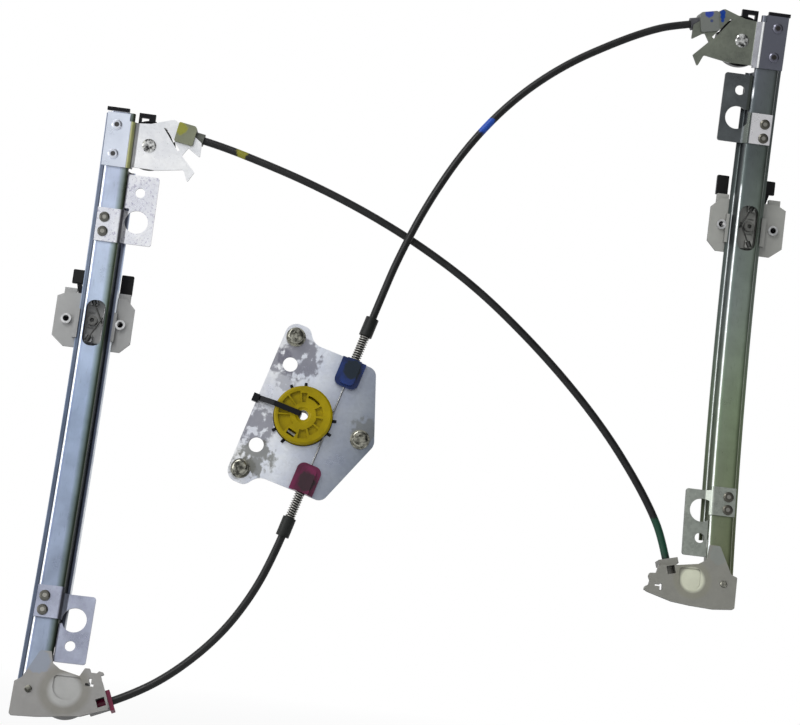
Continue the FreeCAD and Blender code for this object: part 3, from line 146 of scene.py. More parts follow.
class Wiring:
    """Node tree of a material or a world, with short ways to add nodes to it."""

    def __init__(self, owner):
        owner.use_nodes = True
        self.tree = owner.node_tree

    def node(self, kind):
        return self.tree.nodes.new("ShaderNode" + kind)

    def link(self, source, target):
        self.tree.links.new(source, target)

    def feed(self, socket, value):
        """Links a socket to a source, or gives it a number or a colour."""
        if isinstance(value, bpy.types.NodeSocket):
            self.link(value, socket)
        elif isinstance(value, (int, float)):
            socket.default_value = value
        else:
            socket.default_value = (*value, 1.0)

    def math(self, operation, first, second=0.5):
        """One arithmetic step on sources or numbers."""
        node = self.node("Math")
        node.operation = operation
        self.feed(node.inputs[0], first)
        self.feed(node.inputs[1], second)
        return node.outputs[0]

    def axis(self, vector, name):
        """One component of a vector."""
        parts = self.node("SeparateXYZ")
        self.link(vector, parts.inputs[0])
        return parts.outputs[name]

    def ranged(self, source, *values):
        """Source brought from one range to another: from, to, and then 0 to 1 unless two more say
        otherwise."""
        node = self.node("MapRange")
        for key, value in zip(RANGE_SOCKETS, values):
            node.inputs[key].default_value = value
        self.link(source, node.inputs["Value"])
        return node.outputs[0]

    def ramp(self, source, stops):
        """Colour or grey by the source's value, through stops in rising order."""
        node = self.node("ValToRGB")
        elements = node.color_ramp.elements
        for index, (at, colour) in enumerate(stops):
            element = elements[index] if index < 2 else elements.new(at)
            element.position = at
            value = (colour,) * 3 if isinstance(colour, float) else colour
            element.color = (*value, 1.0)
        self.link(source, node.inputs["Fac"])
        return node.outputs["Color"]

    def mixed(self, factor, first, second):
        """Second shader over the first one by a factor."""
        node = self.node("MixShader")
        for socket, source in zip(node.inputs, (factor, first, second)):
            self.link(source, socket)
        return node.outputs[0]


class Finish(Wiring):
    """One material's wiring, with places in Object coordinates."""

    def __init__(self, name, **values):
        self.material = bpy.data.materials.new(name)
        super().__init__(self.material)
        self.shader = self.tree.nodes["Principled BSDF"]
        self.place = self.node("TexCoord").outputs["Object"]
        self.set(**values)

    def set(self, **values):
        """Sets the shader's own values; an underscore stands for a space."""
        for key, value in values.items():
            self.shader.inputs[key.replace("_", " ")].default_value = value

    def noise(self, scale, detail=3.0, rough=0.5, stretch=(1, 1, 1)):
        """Soft noise, scale features to a metre, closer together along a stretched axis."""
        mapping = self.node("Mapping")
        mapping.inputs["Scale"].default_value = stretch
        self.link(self.place, mapping.inputs["Vector"])
        node = self.node("TexNoise")
        node.inputs["Scale"].default_value = scale
        node.inputs["Detail"].default_value = detail
        node.inputs["Roughness"].default_value = rough
        self.link(mapping.outputs[0], node.inputs["Vector"])
        return node.outputs["Fac"]

    def flecks(self, scale):
        """A grey of its own for each small cell, as on spangled zinc."""
        cells = self.node("TexVoronoi")
        cells.feature = "F1"
        cells.inputs["Scale"].default_value = scale
        self.link(self.place, cells.inputs["Vector"])
        grey = self.node("RGBToBW")
        self.link(cells.outputs["Color"], grey.inputs[0])
        return grey.outputs[0]

    def mix(self, factor, first, second, blend="MIX"):
        """Second colour over the first one by a factor."""
        node = self.node("Mix")
        node.data_type = "RGBA"
        node.blend_type = blend
        self.feed(node.inputs[0], factor)
        self.feed(node.inputs[6], first)
        self.feed(node.inputs[7], second)
        return node.outputs[2]

    def shaded(self, base, shade, amount=1.0):
        """Base multiplied by a shade."""
        return self.mix(amount, base, shade, "MULTIPLY")

    def product(self, first, *others):
        """Product of sources and numbers."""
        for other in others:
            first = self.math("MULTIPLY", first, other)
        return first

    def measured(self, operation, vector):
        """Number from a vector operation between a point's place and a fixed vector."""
        node = self.node("VectorMath")
        node.operation = operation
        self.link(self.place, node.inputs[0])
        node.inputs[1].default_value = vector
        return node.outputs["Value"]

    def along(self, direction, low, high):
        """0 to 1 along a direction, between two distances from the origin."""
        return self.ranged(self.measured("DOT_PRODUCT", direction), low, high)

    def from_point(self, point, reach):
        """0 at a point to 1 at a distance from it."""
        return self.ranged(self.measured("DISTANCE", point), 0.0, reach)

    def near(self, point, radius, edge):
        """1 near a point, falling to 0 at about a radius from it over an edge that noise moves in
        and out by a share of the radius."""
        wobble = self.product(self.noise(WOBBLE_SCALE), radius * edge)
        distance = self.math("ADD", self.measured("DISTANCE", point), wobble)
        shift = edge * NOISE_MIDDLE
        return self.ranged(distance, radius * (1 + shift), radius * (MARK_CORE + shift))

    def marked(self, base, marks, edge, *masks):
        """Base with marks over it, each a point, a radius, a tint and a strength, where masks let."""
        for point, radius, tint, strength in marks:
            mark = self.product(self.near(point, radius, edge), *masks, strength)
            base = self.mix(mark, base, tint)
        return base

    def edge_shaded(self, base, tint, strength):
        """Base with a tint of painted shade on the cut edges and side walls of a sheet that lies
        across Y, none on its faces.
        """
        normal = self.node("TexCoord").outputs["Normal"]
        edge = self.ranged(self.math("ABSOLUTE", self.axis(normal, "Y")), *EDGE_NORMALS)
        return self.mix(self.product(edge, strength), base, tint)

    def bump(self, height, strength):
        """Fine relief by a height."""
        node = self.node("Bump")
        node.inputs["Strength"].default_value = strength
        node.inputs["Distance"].default_value = BUMP_DISTANCE
        self.link(height, node.inputs["Height"])
        self.link(node.outputs[0], self.shader.inputs["Normal"])

    def colour(self, socket):
        self.link(socket, self.shader.inputs["Base Color"])

    def roughness(self, socket):
        self.link(socket, self.shader.inputs["Roughness"])


ZINC_CLOUDS = 38.0
ZINC_FLECKS = 420.0
ZINC_PITS = 900.0
ZINC_SPECKS = 480.0
ZINC_PATCHES = 105.0
SPANGLE_DEPTH = 0.35
SPECK_TINT = (0.26, 0.22, 0.40)
BAND_BLUR = 0.0003


def zinc(name, light, dark, spangle=0.5, smudges=(), fade=None, specks=0.0, bands=(), spots=()):
    """Zinc-plated sheet: pale metal with soft clouds, small spangle flecks, painted shade on its cut
    edges and side walls, and a few dull smudges broken into patches; fade is painted light and shade,
    given as a direction, two distances and the shades along it; bands are tinted strips between two
    places on X, which paint highlights and shade along bends as well as plain tints, and spots are
    round marks."""
    f = Finish(name, Metallic=0.85)
    clouds = f.noise(ZINC_CLOUDS, 4.0, 0.6)
    base = f.ramp(clouds, ((0.3, dark), (0.68, light)))
    if fade:
        direction, low, high, light_and_tint = fade
        base = f.shaded(base, f.ramp(f.along(direction, low, high), light_and_tint))
    flecks = f.ramp(f.flecks(ZINC_FLECKS), ((0.15, 1.0 - spangle * SPANGLE_DEPTH), (0.8, 1.0)))
    base = f.shaded(base, flecks)
    pits = f.ramp(f.noise(ZINC_PITS, 2.0), ((0.27, 0.55), (0.33, 1.0)))
    base = f.shaded(base, pits, 0.6)
    if specks:
        specked = f.ramp(f.noise(ZINC_SPECKS, 4.0, 0.7), ((0.56, 0.0), (0.62, specks)))
        base = f.mix(specked, base, SPECK_TINT)
    if smudges:
        patches = f.noise(ZINC_PATCHES, 3.0, 0.55, (1.0, 1.0, 0.8))
        base = f.marked(base, smudges, 0.8, f.ramp(patches, ((0.40, 0.0), (0.47, 1.0))))
    across = f.axis(f.place, "X")
    for low, high, tint, strength in bands:
        start = f.ranged(across, low - BAND_BLUR, low + BAND_BLUR)
        end = f.ranged(across, high + BAND_BLUR, high - BAND_BLUR)
        base = f.mix(f.product(start, end, strength), base, tint)
    base = f.marked(base, spots, 0.5)
    f.colour(f.edge_shaded(base, *METAL_EDGE_SHADE))
    f.roughness(f.ramp(clouds, ((0.3, 0.24), (0.7, 0.42))))
    f.bump(clouds, 0.12)
    return f.material


# Painted shade across a rail's profile, by the distance in millimetres from the web's middle towards
# +X
# It darkens the walls, the lips and the folds, tints olive beside the right-hand bend, and white
# leaves the colour as it is
RAIL_SHADE_BANDS_LEFT = (
    (-24.4, (0.70, 0.72, 0.75)), (-23.6, (0.30, 0.31, 0.33)), (-22.2, (0.38, 0.40, 0.44)),
    (-21.2, (0.05, 0.05, 0.06)), (-9.9, (0.04, 0.04, 0.06)), (-9.3, WHITE), (-8.3, WHITE),
    (-7.6, (0.70, 0.70, 0.76)), (-6.0, WHITE), (3.2, WHITE), (5.4, (0.62, 0.66, 0.58)),
    (7.4, (0.42, 0.45, 0.33)), (9.2, (0.16, 0.19, 0.08)), (10.4, (0.035, 0.04, 0.03)),
    (19.4, (0.03, 0.03, 0.03)), (21.0, (0.24, 0.23, 0.25)), (23.2, (0.34, 0.33, 0.36)),
    (24.0, WHITE),
)
RAIL_SHADE_BANDS_RIGHT = (
    (-24.4, (0.50, 0.52, 0.52)), (-23.2, (0.62, 0.64, 0.64)), (-21.6, WHITE), (-20.6, WHITE),
    (-19.6, (0.12, 0.12, 0.13)), (-14.0, (0.38, 0.39, 0.42)), (-10.8, (0.30, 0.31, 0.33)),
    (-10.0, WHITE), (-8.6, WHITE), (-7.8, (0.9, 0.95, 0.95)), (-5.0, WHITE),
    (6.0, (0.92, 0.95, 0.86)), (8.4, (0.62, 0.66, 0.56)), (9.2, (1.0, 1.0, 0.94)),
    (10.4, (0.12, 0.13, 0.11)), (20.6, (0.10, 0.10, 0.09)), (22.2, (0.62, 0.64, 0.58)),
    (24.2, (0.75, 0.76, 0.70)),
)
BAND_REACH = 25.0
# Painted highlights along a rail's folds: how they fade in at their ends, their blur and their colour
LINE_FADE = 0.004
LINE_BLUR = 1.6
HIGHLIGHT_TINT = (0.93, 0.95, 0.97)
RAIL_CLOUDS = 46.0
RAIL_SCRATCHES = 240.0
SCRATCH_STRETCH = (3.0, 1.0, 0.5)


def over_profile(stops):
    """Stops given in millimetres across a rail's profile, as shares of its whole reach."""
    return tuple(((at + BAND_REACH) / (2 * BAND_REACH), value) for at, value in stops)


def rail_zinc(name, heights, bands, highlights):
    """Zinc on a rail: colour by height with painted light and shade in it, darker and brighter bands
    of painted shade along the folds by the attribute that says how far across the profile a point is,
    with lengthwise scratches and clouds; the last argument lists painted highlights along folds, each
    a place across, half a width and its two heights."""
    f = Finish(name, Metallic=0.8)
    low, high = heights[0][0], heights[-1][0]
    light_and_tint = tuple(((z - low) / (high - low), tint) for z, tint in heights)
    base = f.ramp(f.along(UP, low, high), light_and_tint)
    clouds = f.noise(RAIL_CLOUDS, 5.0, 0.65)
    base = f.shaded(base, f.ramp(clouds, ((0.3, 0.66), (0.72, 1.0))), 0.5)
    scratches = f.noise(RAIL_SCRATCHES, 4.0, 0.6, SCRATCH_STRETCH)
    base = f.shaded(base, f.ramp(scratches, ((0.30, 0.55), (0.42, 1.0))), 0.3)
    attribute = f.node("Attribute")
    attribute.attribute_name = "across"
    across = f.ranged(attribute.outputs["Fac"], -BAND_REACH, BAND_REACH)
    base = f.shaded(base, f.ramp(across, over_profile(bands)))
    for at, half, bottom, top in highlights:
        blur = half * LINE_BLUR
        stops = ((at - blur, 0.0), (at - half, 1.0), (at + half, 1.0), (at + blur, 0.0))
        white = f.ramp(across, over_profile(stops))
        start = f.along(UP, bottom, bottom + LINE_FADE)
        end = f.along(UP, top, top - LINE_FADE)
        strength = f.product(start, end, f.ramp(clouds, ((0.3, 0.5), (0.6, 0.95))))
        base = f.mix(f.product(white, strength), base, HIGHLIGHT_TINT)
    f.colour(base)
    f.roughness(f.ramp(clouds, ((0.3, 0.26), (0.7, 0.42))))
    f.bump(clouds, 0.10)
    return f.material


def steel(name, colour, rough=0.3, shade=0.72, scale=300.0, spots=()):
    """Machined or formed steel with fine uneven gloss: dark patches by a shade, and round spots."""
    f = Finish(name, Metallic=0.95)
    patches = f.noise(scale, 4.0, 0.6)
    base = f.ramp(patches, ((0.4, scaled(colour, shade)), (0.6, colour)))
    f.colour(f.marked(base, spots, 0.25))
    f.roughness(f.ramp(patches, ((0.3, rough * 0.7), (0.7, rough * 1.3))))
    f.bump(patches, 0.15)
    return f.material


STRAND_SCALE = 500.0


def stranded(name):
    """Stranded cable: fine diagonal bands of bright and dark wire."""
    f = Finish(name, Metallic=0.9, Roughness=0.35)
    wave = f.node("TexWave")
    wave.bands_direction = "DIAGONAL"
    wave.inputs["Scale"].default_value = STRAND_SCALE
    wave.inputs["Distortion"].default_value = 0.6
    f.link(f.place, wave.inputs["Vector"])
    f.colour(f.ramp(wave.outputs["Fac"], ((0.2, 0.10), (0.8, 0.5))))
    f.bump(wave.outputs["Fac"], 0.4)
    return f.material


PLASTIC_IOR = 1.5
PLASTIC_CLOUDS = 60.0
PLASTIC_GRAIN = 1400.0
GUIDE_CLOUDS = 90.0
GLOW_REACH = (0.004, 0.004, 0.004)


def plastic(name, colour, rough=0.42, mottle=0.06, glow=0.0, paint_and_shade=(), coat=0.0, edge_shade=0.0,
            gloss=0.35):
    """Moulded plastic: even colour with faint clouds and a fine grain; glow lets light through it,
    the coloured marks are paint and painted shade, and the edge setting puts painted shade on its cut
    edges and side walls."""
    f = Finish(name, Roughness=rough, IOR=PLASTIC_IOR, Specular_IOR_Level=gloss)
    if glow:
        f.set(Subsurface_Weight=glow, Subsurface_Radius=GLOW_REACH, Subsurface_Scale=1.0)
    if coat:
        f.set(Coat_Weight=coat, Coat_Roughness=0.2)
    clouds = f.noise(PLASTIC_CLOUDS)
    stops = ((0.3, scaled(colour, 1 - mottle)), (0.7, scaled(colour, 1 + mottle)))
    base = f.marked(f.ramp(clouds, stops), paint_and_shade, 0.7)
    if edge_shade:
        base = f.edge_shaded(base, scaled(colour, PLASTIC_EDGE_SHADE), edge_shade)
    f.colour(base)
    f.bump(f.noise(PLASTIC_GRAIN, 2.0), 0.1)
    return f.material


def guide_plastic(name, colour, pocket, groove, centre, radius, haze):
    """Translucent moulding of a bottom guide: paler over its pocket, darker where the cable's groove
    shows through round it, and hazy with the rail's colour over the rail."""
    f = Finish(name, Roughness=0.42, IOR=PLASTIC_IOR, Subsurface_Weight=0.15,
               Subsurface_Scale=1.0, Subsurface_Radius=GLOW_REACH)
    reach = radius * 1.6
    rings = ((0.0, pocket), (radius * 0.62 / reach, pocket), (radius * 0.82 / reach, groove),
             (radius * 1.02 / reach, groove), (radius * 1.25 / reach, colour))
    base = f.ramp(f.from_point(centre, reach), rings)
    clouds = f.noise(GUIDE_CLOUDS, 4.0, 0.6)
    base = f.shaded(base, f.ramp(clouds, ((0.3, 0.88), (0.7, 1.0))))
    base = f.marked(base, haze, 0.5)
    f.colour(f.edge_shaded(base, scaled(colour, PLASTIC_EDGE_SHADE), 0.75))
    f.bump(f.noise(PLASTIC_GRAIN, 2.0), 0.08)
    return f.material


RUBBER_IOR = 1.45
RUBBER_BLOOM = 90.0
RUBBER_GRAIN = 1600.0


def rubber(name, colour, rough=0.6):
    """Black rubber or soft plastic with a slight bloom and fine grain."""
    f = Finish(name, IOR=RUBBER_IOR, Specular_IOR_Level=0.3)
    bloom = f.noise(RUBBER_BLOOM, 4.0, 0.6)
    f.colour(f.ramp(bloom, ((0.35, scaled(colour, 0.8)), (0.75, scaled(colour, 1.7)))))
    f.roughness(f.ramp(bloom, ((0.3, rough * 0.8), (0.7, rough))))
    f.bump(f.noise(RUBBER_GRAIN, 2.0), 0.12)
    return f.material


CONDUIT_SCUFFS = 120.0
CONDUIT_GRAIN = 1500.0


def conduit_finish(name, bands):
    """Black conduit with light scuffs and coloured paint bands."""
    f = Finish(name, IOR=PLASTIC_IOR, Specular_IOR_Level=0.35)
    scuffs = f.noise(CONDUIT_SCUFFS, 4.0, 0.6)
    f.colour(f.marked(f.ramp(scuffs, ((0.3, 0.0035), (0.75, 0.012))), bands, 0.9))
    f.roughness(f.ramp(scuffs, ((0.3, 0.3), (0.7, 0.48))))
    f.bump(f.noise(CONDUIT_GRAIN, 2.0), 0.1)
    return f.material


# Shapes

TIP_RADIUS = 1e-5
TIP_NUDGE = 1e-7
SHARP_ANGLE = math.radians(35)


def grid_cells(index):
    """The four corners of each cell of a grid of point numbers."""
    return np.stack((index[:-1, :-1], index[1:, :-1], index[1:, 1:], index[:-1, 1:]), axis=-1)


def mesh_piece(name, points, faces, material, body):
    """Smooth piece from points and faces, riding on a body."""
    mesh = bpy.data.meshes.new(name)
    mesh.from_pydata(np.asarray(points, float).tolist(), [], np.asarray(faces).tolist())
    mesh.validate()
    mesh.materials.append(material)
    mesh.polygons.foreach_set("use_smooth", np.full(len(mesh.polygons), True))
    piece = bpy.data.objects.new(name, mesh)
    bpy.context.scene.collection.objects.link(piece)
    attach(piece, body)
    return piece


def frames_along(path):
    """Side and up at each point of a path, square to its tangent; the side is square to Y as well."""
    tangent = np.gradient(path, axis=0)
    tangent /= np.linalg.norm(tangent, axis=1)[:, None]
    side = np.cross(tangent, [0.0, 1.0, 0.0])
    side /= np.linalg.norm(side, axis=1)[:, None]
    return side, np.cross(side, tangent)


def tube(name, path, radius, material, body, around):
    """Tube: a circle of the given radius carried along a path as a grid with one row to a circle,
    with each end drawn in to a point."""
    radius = np.concatenate(([TIP_RADIUS], np.full(len(path), radius), [TIP_RADIUS]))
    path = np.vstack((path[:1], path, path[-1:]))
    side, up = frames_along(path + np.linspace(0, TIP_NUDGE, len(path))[:, None])
    side[0], up[0] = side[1], up[1]
    side[-1], up[-1] = side[-2], up[-2]
    angle = np.linspace(0, 2 * np.pi, around, endpoint=False)
    cos, sin = np.cos(angle)[None, :, None], np.sin(angle)[None, :, None]
    circle = side[:, None] * cos + up[:, None] * sin
    points = (path[:, None] + circle * radius[:, None, None]).reshape(-1, 3)
    index = np.arange(len(points)).reshape(len(path), around)
    index = np.hstack((index, index[:, :1]))
    return mesh_piece(name, points, grid_cells(index).reshape(-1, 4), material, body)


def fold_line(corners, radius, steps=7):
    """Line through corners with each inner corner replaced by an arc: points at even angles from one
    tangent point to the other, about the centre that lies radius from both runs."""
    corners = np.asarray(corners, float)
    points = [corners[:1]]
    for before, corner, after in zip(corners[:-2], corners[1:-1], corners[2:]):
        back = (before - corner) / np.linalg.norm(before - corner)
        ahead = (after - corner) / np.linalg.norm(after - corner)
        half = math.acos(np.clip(back @ ahead, -1, 1)) / 2
        inward = (back + ahead) / np.linalg.norm(back + ahead)
        centre = corner + inward * radius / math.sin(half)
        first = corner + back * radius / math.tan(half) - centre
        last = corner + ahead * radius / math.tan(half) - centre
        share = np.linspace(0, 1, steps)[:, None]
        turn = math.pi - 2 * half
        arc = (np.sin((1 - share) * turn) * first + np.sin(share * turn) * last) / math.sin(turn)
        points.append(centre + arc)
    points.append(corners[-1:])
    return np.vstack(points)


def thick_sheet(name, middle, normal, thickness, keep, material, body, across):
    """Sheet of even thickness from a grid of its middle surface: the grid pushed out along the
    normals by half the thickness each way, faces where keep is true, and a rim quad on every edge
    that has a kept cell on one side only. Each point carries its value of across."""
    rows, columns = middle.shape[:2]
    front = middle + normal * thickness / 2
    back = middle - normal * thickness / 2
    points = np.concatenate((front.reshape(-1, 3), back.reshape(-1, 3)))
    behind = rows * columns
    index = np.arange(behind).reshape(rows, columns)
    cell = grid_cells(index)[keep]
    faces = [cell, (cell + behind)[:, ::-1]]
    padded = np.pad(keep, 1)
    for axis, a, b in ((0, index[:, :-1], index[:, 1:]), (1, index[:-1, :], index[1:, :])):
        before = padded[:-1, 1:-1] if axis == 0 else padded[1:-1, :-1]
        after = padded[1:, 1:-1] if axis == 0 else padded[1:-1, 1:]
        for edge, flip in ((after & ~before, axis == 1), (before & ~after, axis == 0)):
            first, last = a[edge], b[edge]
            quad = np.stack((first, last, last + behind, first + behind), -1)
            faces.append(quad[:, ::-1] if flip else quad)
    piece = mesh_piece(name, points, np.concatenate(faces), material, body)
    attribute = piece.data.attributes.new("across", "FLOAT", "POINT")
    attribute.data.foreach_set("value", np.tile(across.ravel(), 2))
    build = bmesh.new()
    build.from_mesh(piece.data)
    loose = [vertex for vertex in build.verts if not vertex.link_faces]
    bmesh.ops.delete(build, geom=loose, context="VERTS")
    bmesh.ops.recalc_face_normals(build, faces=build.faces)
    build.to_mesh(piece.data)
    build.free()
    piece.data.set_sharp_from_angle(angle=SHARP_ANGLE)
    return piece


# Rails, in millimetres until the sheet is made

RAIL_SHEET = 1.4
RAIL_BEND = 1.5
RAIL_CORNERS = ((-15.2, 12.7), (-11.0, 12.7), (-9.2, 0.7), (9.2, 0.7), (11.0, 12.7), (15.2, 12.7))
RAIL_TOP_OPEN = 48.0
RAIL_BOTTOM_OPEN = 54.0
RAIL_OPEN_DEPTH = 3.2
SIGHT_HALF_WIDTH = 8.0
SIGHT_HALF_LENGTH = 19.25
SIGHT_CORNER = 7.0
PROFILE_STEPS = 40
STATION_STEP = 4.0
SIGHT_STATIONS = 41
OUTER_FROM = 8.6
OUTER_COLUMNS = 34
NEAR_SHARES = np.array([0.0, 0.3, 0.6, 0.85])
DIGITS = 4


def rail_profile():
    """Fine points of the folded hat profile, and how far along it from its middle each of them is."""
    line = fold_line(RAIL_CORNERS, RAIL_BEND)
    runs = [np.linspace(a, b, PROFILE_STEPS, endpoint=False) for a, b in zip(line[:-1], line[1:])]
    fine = np.vstack(runs + [line[-1:]])
    along = np.concatenate(([0], np.cumsum(np.linalg.norm(np.diff(fine, axis=0), axis=1))))
    return fine, along - along[-1] / 2


def rail_stations(low, high, window):
    """Stations along the arc: even steps, the ends of the cut-aways, and closer ones at the sight
    window, by a sine, so that its rounded ends are smooth."""
    ease = np.sin(np.linspace(-np.pi / 2, np.pi / 2, SIGHT_STATIONS)) * SIGHT_HALF_LENGTH + window
    ends = [high, high - RAIL_TOP_OPEN, low + RAIL_BOTTOM_OPEN]
    stations = np.concatenate((np.arange(low, high, STATION_STEP), ends, ease))
    return np.unique(np.round(stations, DIGITS))


def rail_half_columns(stations, window, reach):
    """Places across the right half of the profile at each station: the first ones follow the sight
    window's half width, a straight side with circular ends, and the outer ones are the same all
    along."""
    straight = SIGHT_HALF_WIDTH - SIGHT_CORNER
    from_end = SIGHT_HALF_LENGTH - np.abs(stations - window)
    bow = np.clip(SIGHT_CORNER - from_end, 0, SIGHT_CORNER)
    half = np.where(from_end < 0, straight, straight + np.sqrt(SIGHT_CORNER ** 2 - bow ** 2))
    outer = np.round(np.linspace(OUTER_FROM, reach, OUTER_COLUMNS), DIGITS)
    near = half[:, None] + (outer[0] - half[:, None]) * NEAR_SHARES[None, :]
    return np.hstack((near, np.repeat(outer[None, :], len(stations), axis=0)))


def make_rail(name):
    """Rail: the folded hat profile carried along an arc about the far centre. A column's place along
    the profile moves in and out with the sight window, so the opening follows the grid."""
    side = SIDES[name]
    fine, along = rail_profile()
    low, high = (value / MM for value in side["rail"])
    window = side["window"] / MM
    stations = rail_stations(low, high, window)
    right = rail_half_columns(stations, window, along[-1])
    columns = np.hstack((-right[:, ::-1], right))
    x = np.interp(columns, along, fine[:, 0])
    y = np.interp(columns, along, fine[:, 1])
    slope = np.gradient(fine, along, axis=0)
    nx = np.interp(columns, along, slope[:, 1])
    ny = np.interp(columns, along, -slope[:, 0])
    arc_radius = RAIL_RADIUS / MM
    angle = stations / arc_radius
    cos, sin = np.cos(angle)[:, None], np.sin(angle)[:, None]
    radius = arc_radius + y
    apex = RAIL_APEX / MM
    middle = np.stack((side["x"] / MM + side["mirror"] * x, radius * cos - arc_radius + apex[1],
                       radius * sin + apex[2]), -1)
    normal = np.stack((side["mirror"] * nx, ny * cos, ny * sin), -1)
    cell_x = (columns[:-1, :-1] + columns[1:, 1:]) / 2
    cell_y = (y[:-1, :-1] + y[1:, 1:]) / 2
    cell_s = ((stations[:-1] + stations[1:]) / 2)[:, None]
    open_end = (cell_s > high - RAIL_TOP_OPEN) | (cell_s < low + RAIL_BOTTOM_OPEN)
    keep = ~(open_end & (cell_x > 0) & (cell_y > RAIL_OPEN_DEPTH))
    centre = np.zeros_like(keep)
    centre[:, right.shape[1] - 1] = True
    keep &= ~(centre & (np.abs(cell_s - window) < SIGHT_HALF_LENGTH))
    piece = thick_sheet(name + "_rail_skin", middle * MM, normal, RAIL_SHEET * MM, keep,
                        FINISH["rail_" + name], "frame", columns * side["mirror"])
    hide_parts(name + "_rail")


# Conduits

# Points of each conduit's route, in millimetres
ROUTES = {
    "upper_conduit": (
        (44.3, -3.5, 78.6), (51.2, -3.5, 103.6), (62.2, -4.6, 142.0), (82.0, -6.2, 193.0),
        (108.6, -8.0, 243.8), (142.0, -10.2, 288.0), (181.5, -12.8, 323.3), (225.7, -15.0, 350.2),
        (256.0, -15.8, 365.4), (275.6, -16.6, 371.3), (296.8, -17.5, 375.7),
    ),
    "cross_conduit": (
        (-123.5, 9.3, 224.6), (-103.7, 9.7, 221.5), (-72.0, 8.4, 213.4), (-22.0, 6.6, 198.6),
        (31.0, 5.6, 178.8), (81.0, 5.2, 155.2), (128.5, 5.2, 127.3), (173.0, 6.0, 93.4),
        (213.5, 7.5, 58.0), (250.0, 9.3, 20.8), (279.0, 12.0, -15.3), (299.0, 14.6, -45.0),
        (308.2, 14.6, -66.0), (314.7, 12.0, -90.3),
    ),
    "lower_conduit": (
        (-2.2, -3.5, -90.2), (-7.7, -3.5, -110.0), (-20.8, -5.0, -145.5), (-42.5, -7.0, -182.0),
        (-74.0, -9.2, -214.7), (-105.4, -11.0, -236.2), (-129.3, -13.2, -246.7),
    ),
}
BLUE = (0.01, 0.07, 0.42)
YELLOW = (0.42, 0.40, 0.02)
GREEN = (0.005, 0.06, 0.03)
# Paint bands on each conduit: point, radius, tint and strength
CONDUIT_BANDS = {
    "upper_conduit": (((0.1221, -0.0088, 0.2622), 0.009, BLUE, 0.9),),
    "cross_conduit": (((-0.078, 0.0085, 0.2157), 0.006, YELLOW, 0.5),
                      ((0.304, 0.013, -0.062), 0.018, GREEN, 0.8)),
    "lower_conduit": (),
}
ROUND_STEPS = 5
LENGTH_STEPS = 12


def make_conduit(name):
    """Conduit on its route as a round curve."""
    curve = bpy.data.curves.new(name + "_line", "CURVE")
    curve.dimensions = "3D"
    curve.bevel_depth = CONDUIT_DIAMETER / 2
    curve.bevel_resolution = ROUND_STEPS
    curve.use_fill_caps = True
    spline = curve.splines.new("NURBS")
    route = np.array(ROUTES[name]) * MM
    spline.points.add(len(route) - 1)
    spline.points.foreach_set("co", np.hstack((route, np.ones((len(route), 1)))).ravel())
    spline.order_u = 3
    spline.use_endpoint_u = True
    spline.resolution_u = LENGTH_STEPS
    curve.materials.append(conduit_finish(name + "_finish", CONDUIT_BANDS[name]))
    piece = bpy.data.objects.new(name + "_cord", curve)
    bpy.context.scene.collection.objects.link(piece)
    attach(piece, "frame")
    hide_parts(name)


# Springs, in the motor plate's frame

SPRING_TURNS = 11.5
SPRING_FLAT_TURNS = 0.8
SPRING_FLAT_RISE = 0.03
STEPS_PER_TURN = 22
SPRING_U = 0.0218
SPRING_Y = -0.0035
SPRING_LOW = 0.0589
SPRING_HIGH = 0.0801
SPRING_RADIUS = 0.00355
WIRE_RADIUS = 0.00055


def make_spring(level, sign):
    """Pressure spring: a helix round the cap's nose whose rise is slow over the first and last turn."""
    t = np.linspace(0, SPRING_TURNS, int(SPRING_TURNS * STEPS_PER_TURN))
    rise = np.interp(t, (0, SPRING_FLAT_TURNS, SPRING_TURNS - SPRING_FLAT_TURNS, SPRING_TURNS),
                     (0, SPRING_FLAT_RISE, 1 - SPRING_FLAT_RISE, 1))
    points = np.stack((SPRING_U + SPRING_RADIUS * np.cos(2 * np.pi * t),
                       SPRING_Y + SPRING_RADIUS * np.sin(2 * np.pi * t),
                       sign * (SPRING_LOW + (SPRING_HIGH - SPRING_LOW) * rise)), axis=-1)
    path = plate_place(points)
    piece = tube(level + "_coil", path, WIRE_RADIUS, FINISH["spring"], "frame", around=8)
    piece.parent = None
    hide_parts(level + "_spring")
    start = plate_place(np.array([SPRING_U, SPRING_Y, sign * SPRING_LOW]))
    end = plate_place(np.array([SPRING_U, SPRING_Y, sign * SPRING_HIGH]))
    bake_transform(piece)


# Finishes. Marks are a point, a radius, a tint and a strength; bands are two places on X, a tint and
# a strength.

def on_plate(u, v, y=0.0):
    """Point on or before the motor plate's front face from its place in the plate's frame."""
    return tuple(plate_place(np.array([u, y, v]) * MM))


def on_rail(name, station, x, z, y=0.0):
    """Point on a rail or a part of it, from its rail-frame place at a station."""
    side = SIDES[name]
    return tuple(rail_place(side, side[station], np.array([x, y, z]) * MM))


SMUDGE = (0.20, 0.195, 0.24)
OLIVE_SMUDGE = (0.16, 0.16, 0.13)
PLATE_SMUDGES = [
    (on_plate(u, v), radius * MM, tint, strength)
    for u, v, radius, tint, strength in (
        (-20, 43, 19, SMUDGE, 0.8), (-36, 36, 12, SMUDGE, 0.75), (-24, 22, 10, SMUDGE, 0.45),
        (-33, -22, 18, SMUDGE, 0.75), (-22, -46, 17, OLIVE_SMUDGE, 0.75),
        (-30, -57, 12, OLIVE_SMUDGE, 0.6), (50, 9, 12, OLIVE_SMUDGE, 0.5),
    )
]
# Painted light and shade across the motor plate: white at its left side, dark grey at its right side
PLATE_LIGHT_FADE = (
    (math.cos(PLATE_TURN), 0.0, -math.sin(PLATE_TURN)), -0.040, 0.062,
    ((0.0, WHITE), (0.35, (0.92, 0.95, 1.0)), (0.62, (0.52, 0.55, 0.61)),
     (1.0, (0.24, 0.27, 0.31))),
)
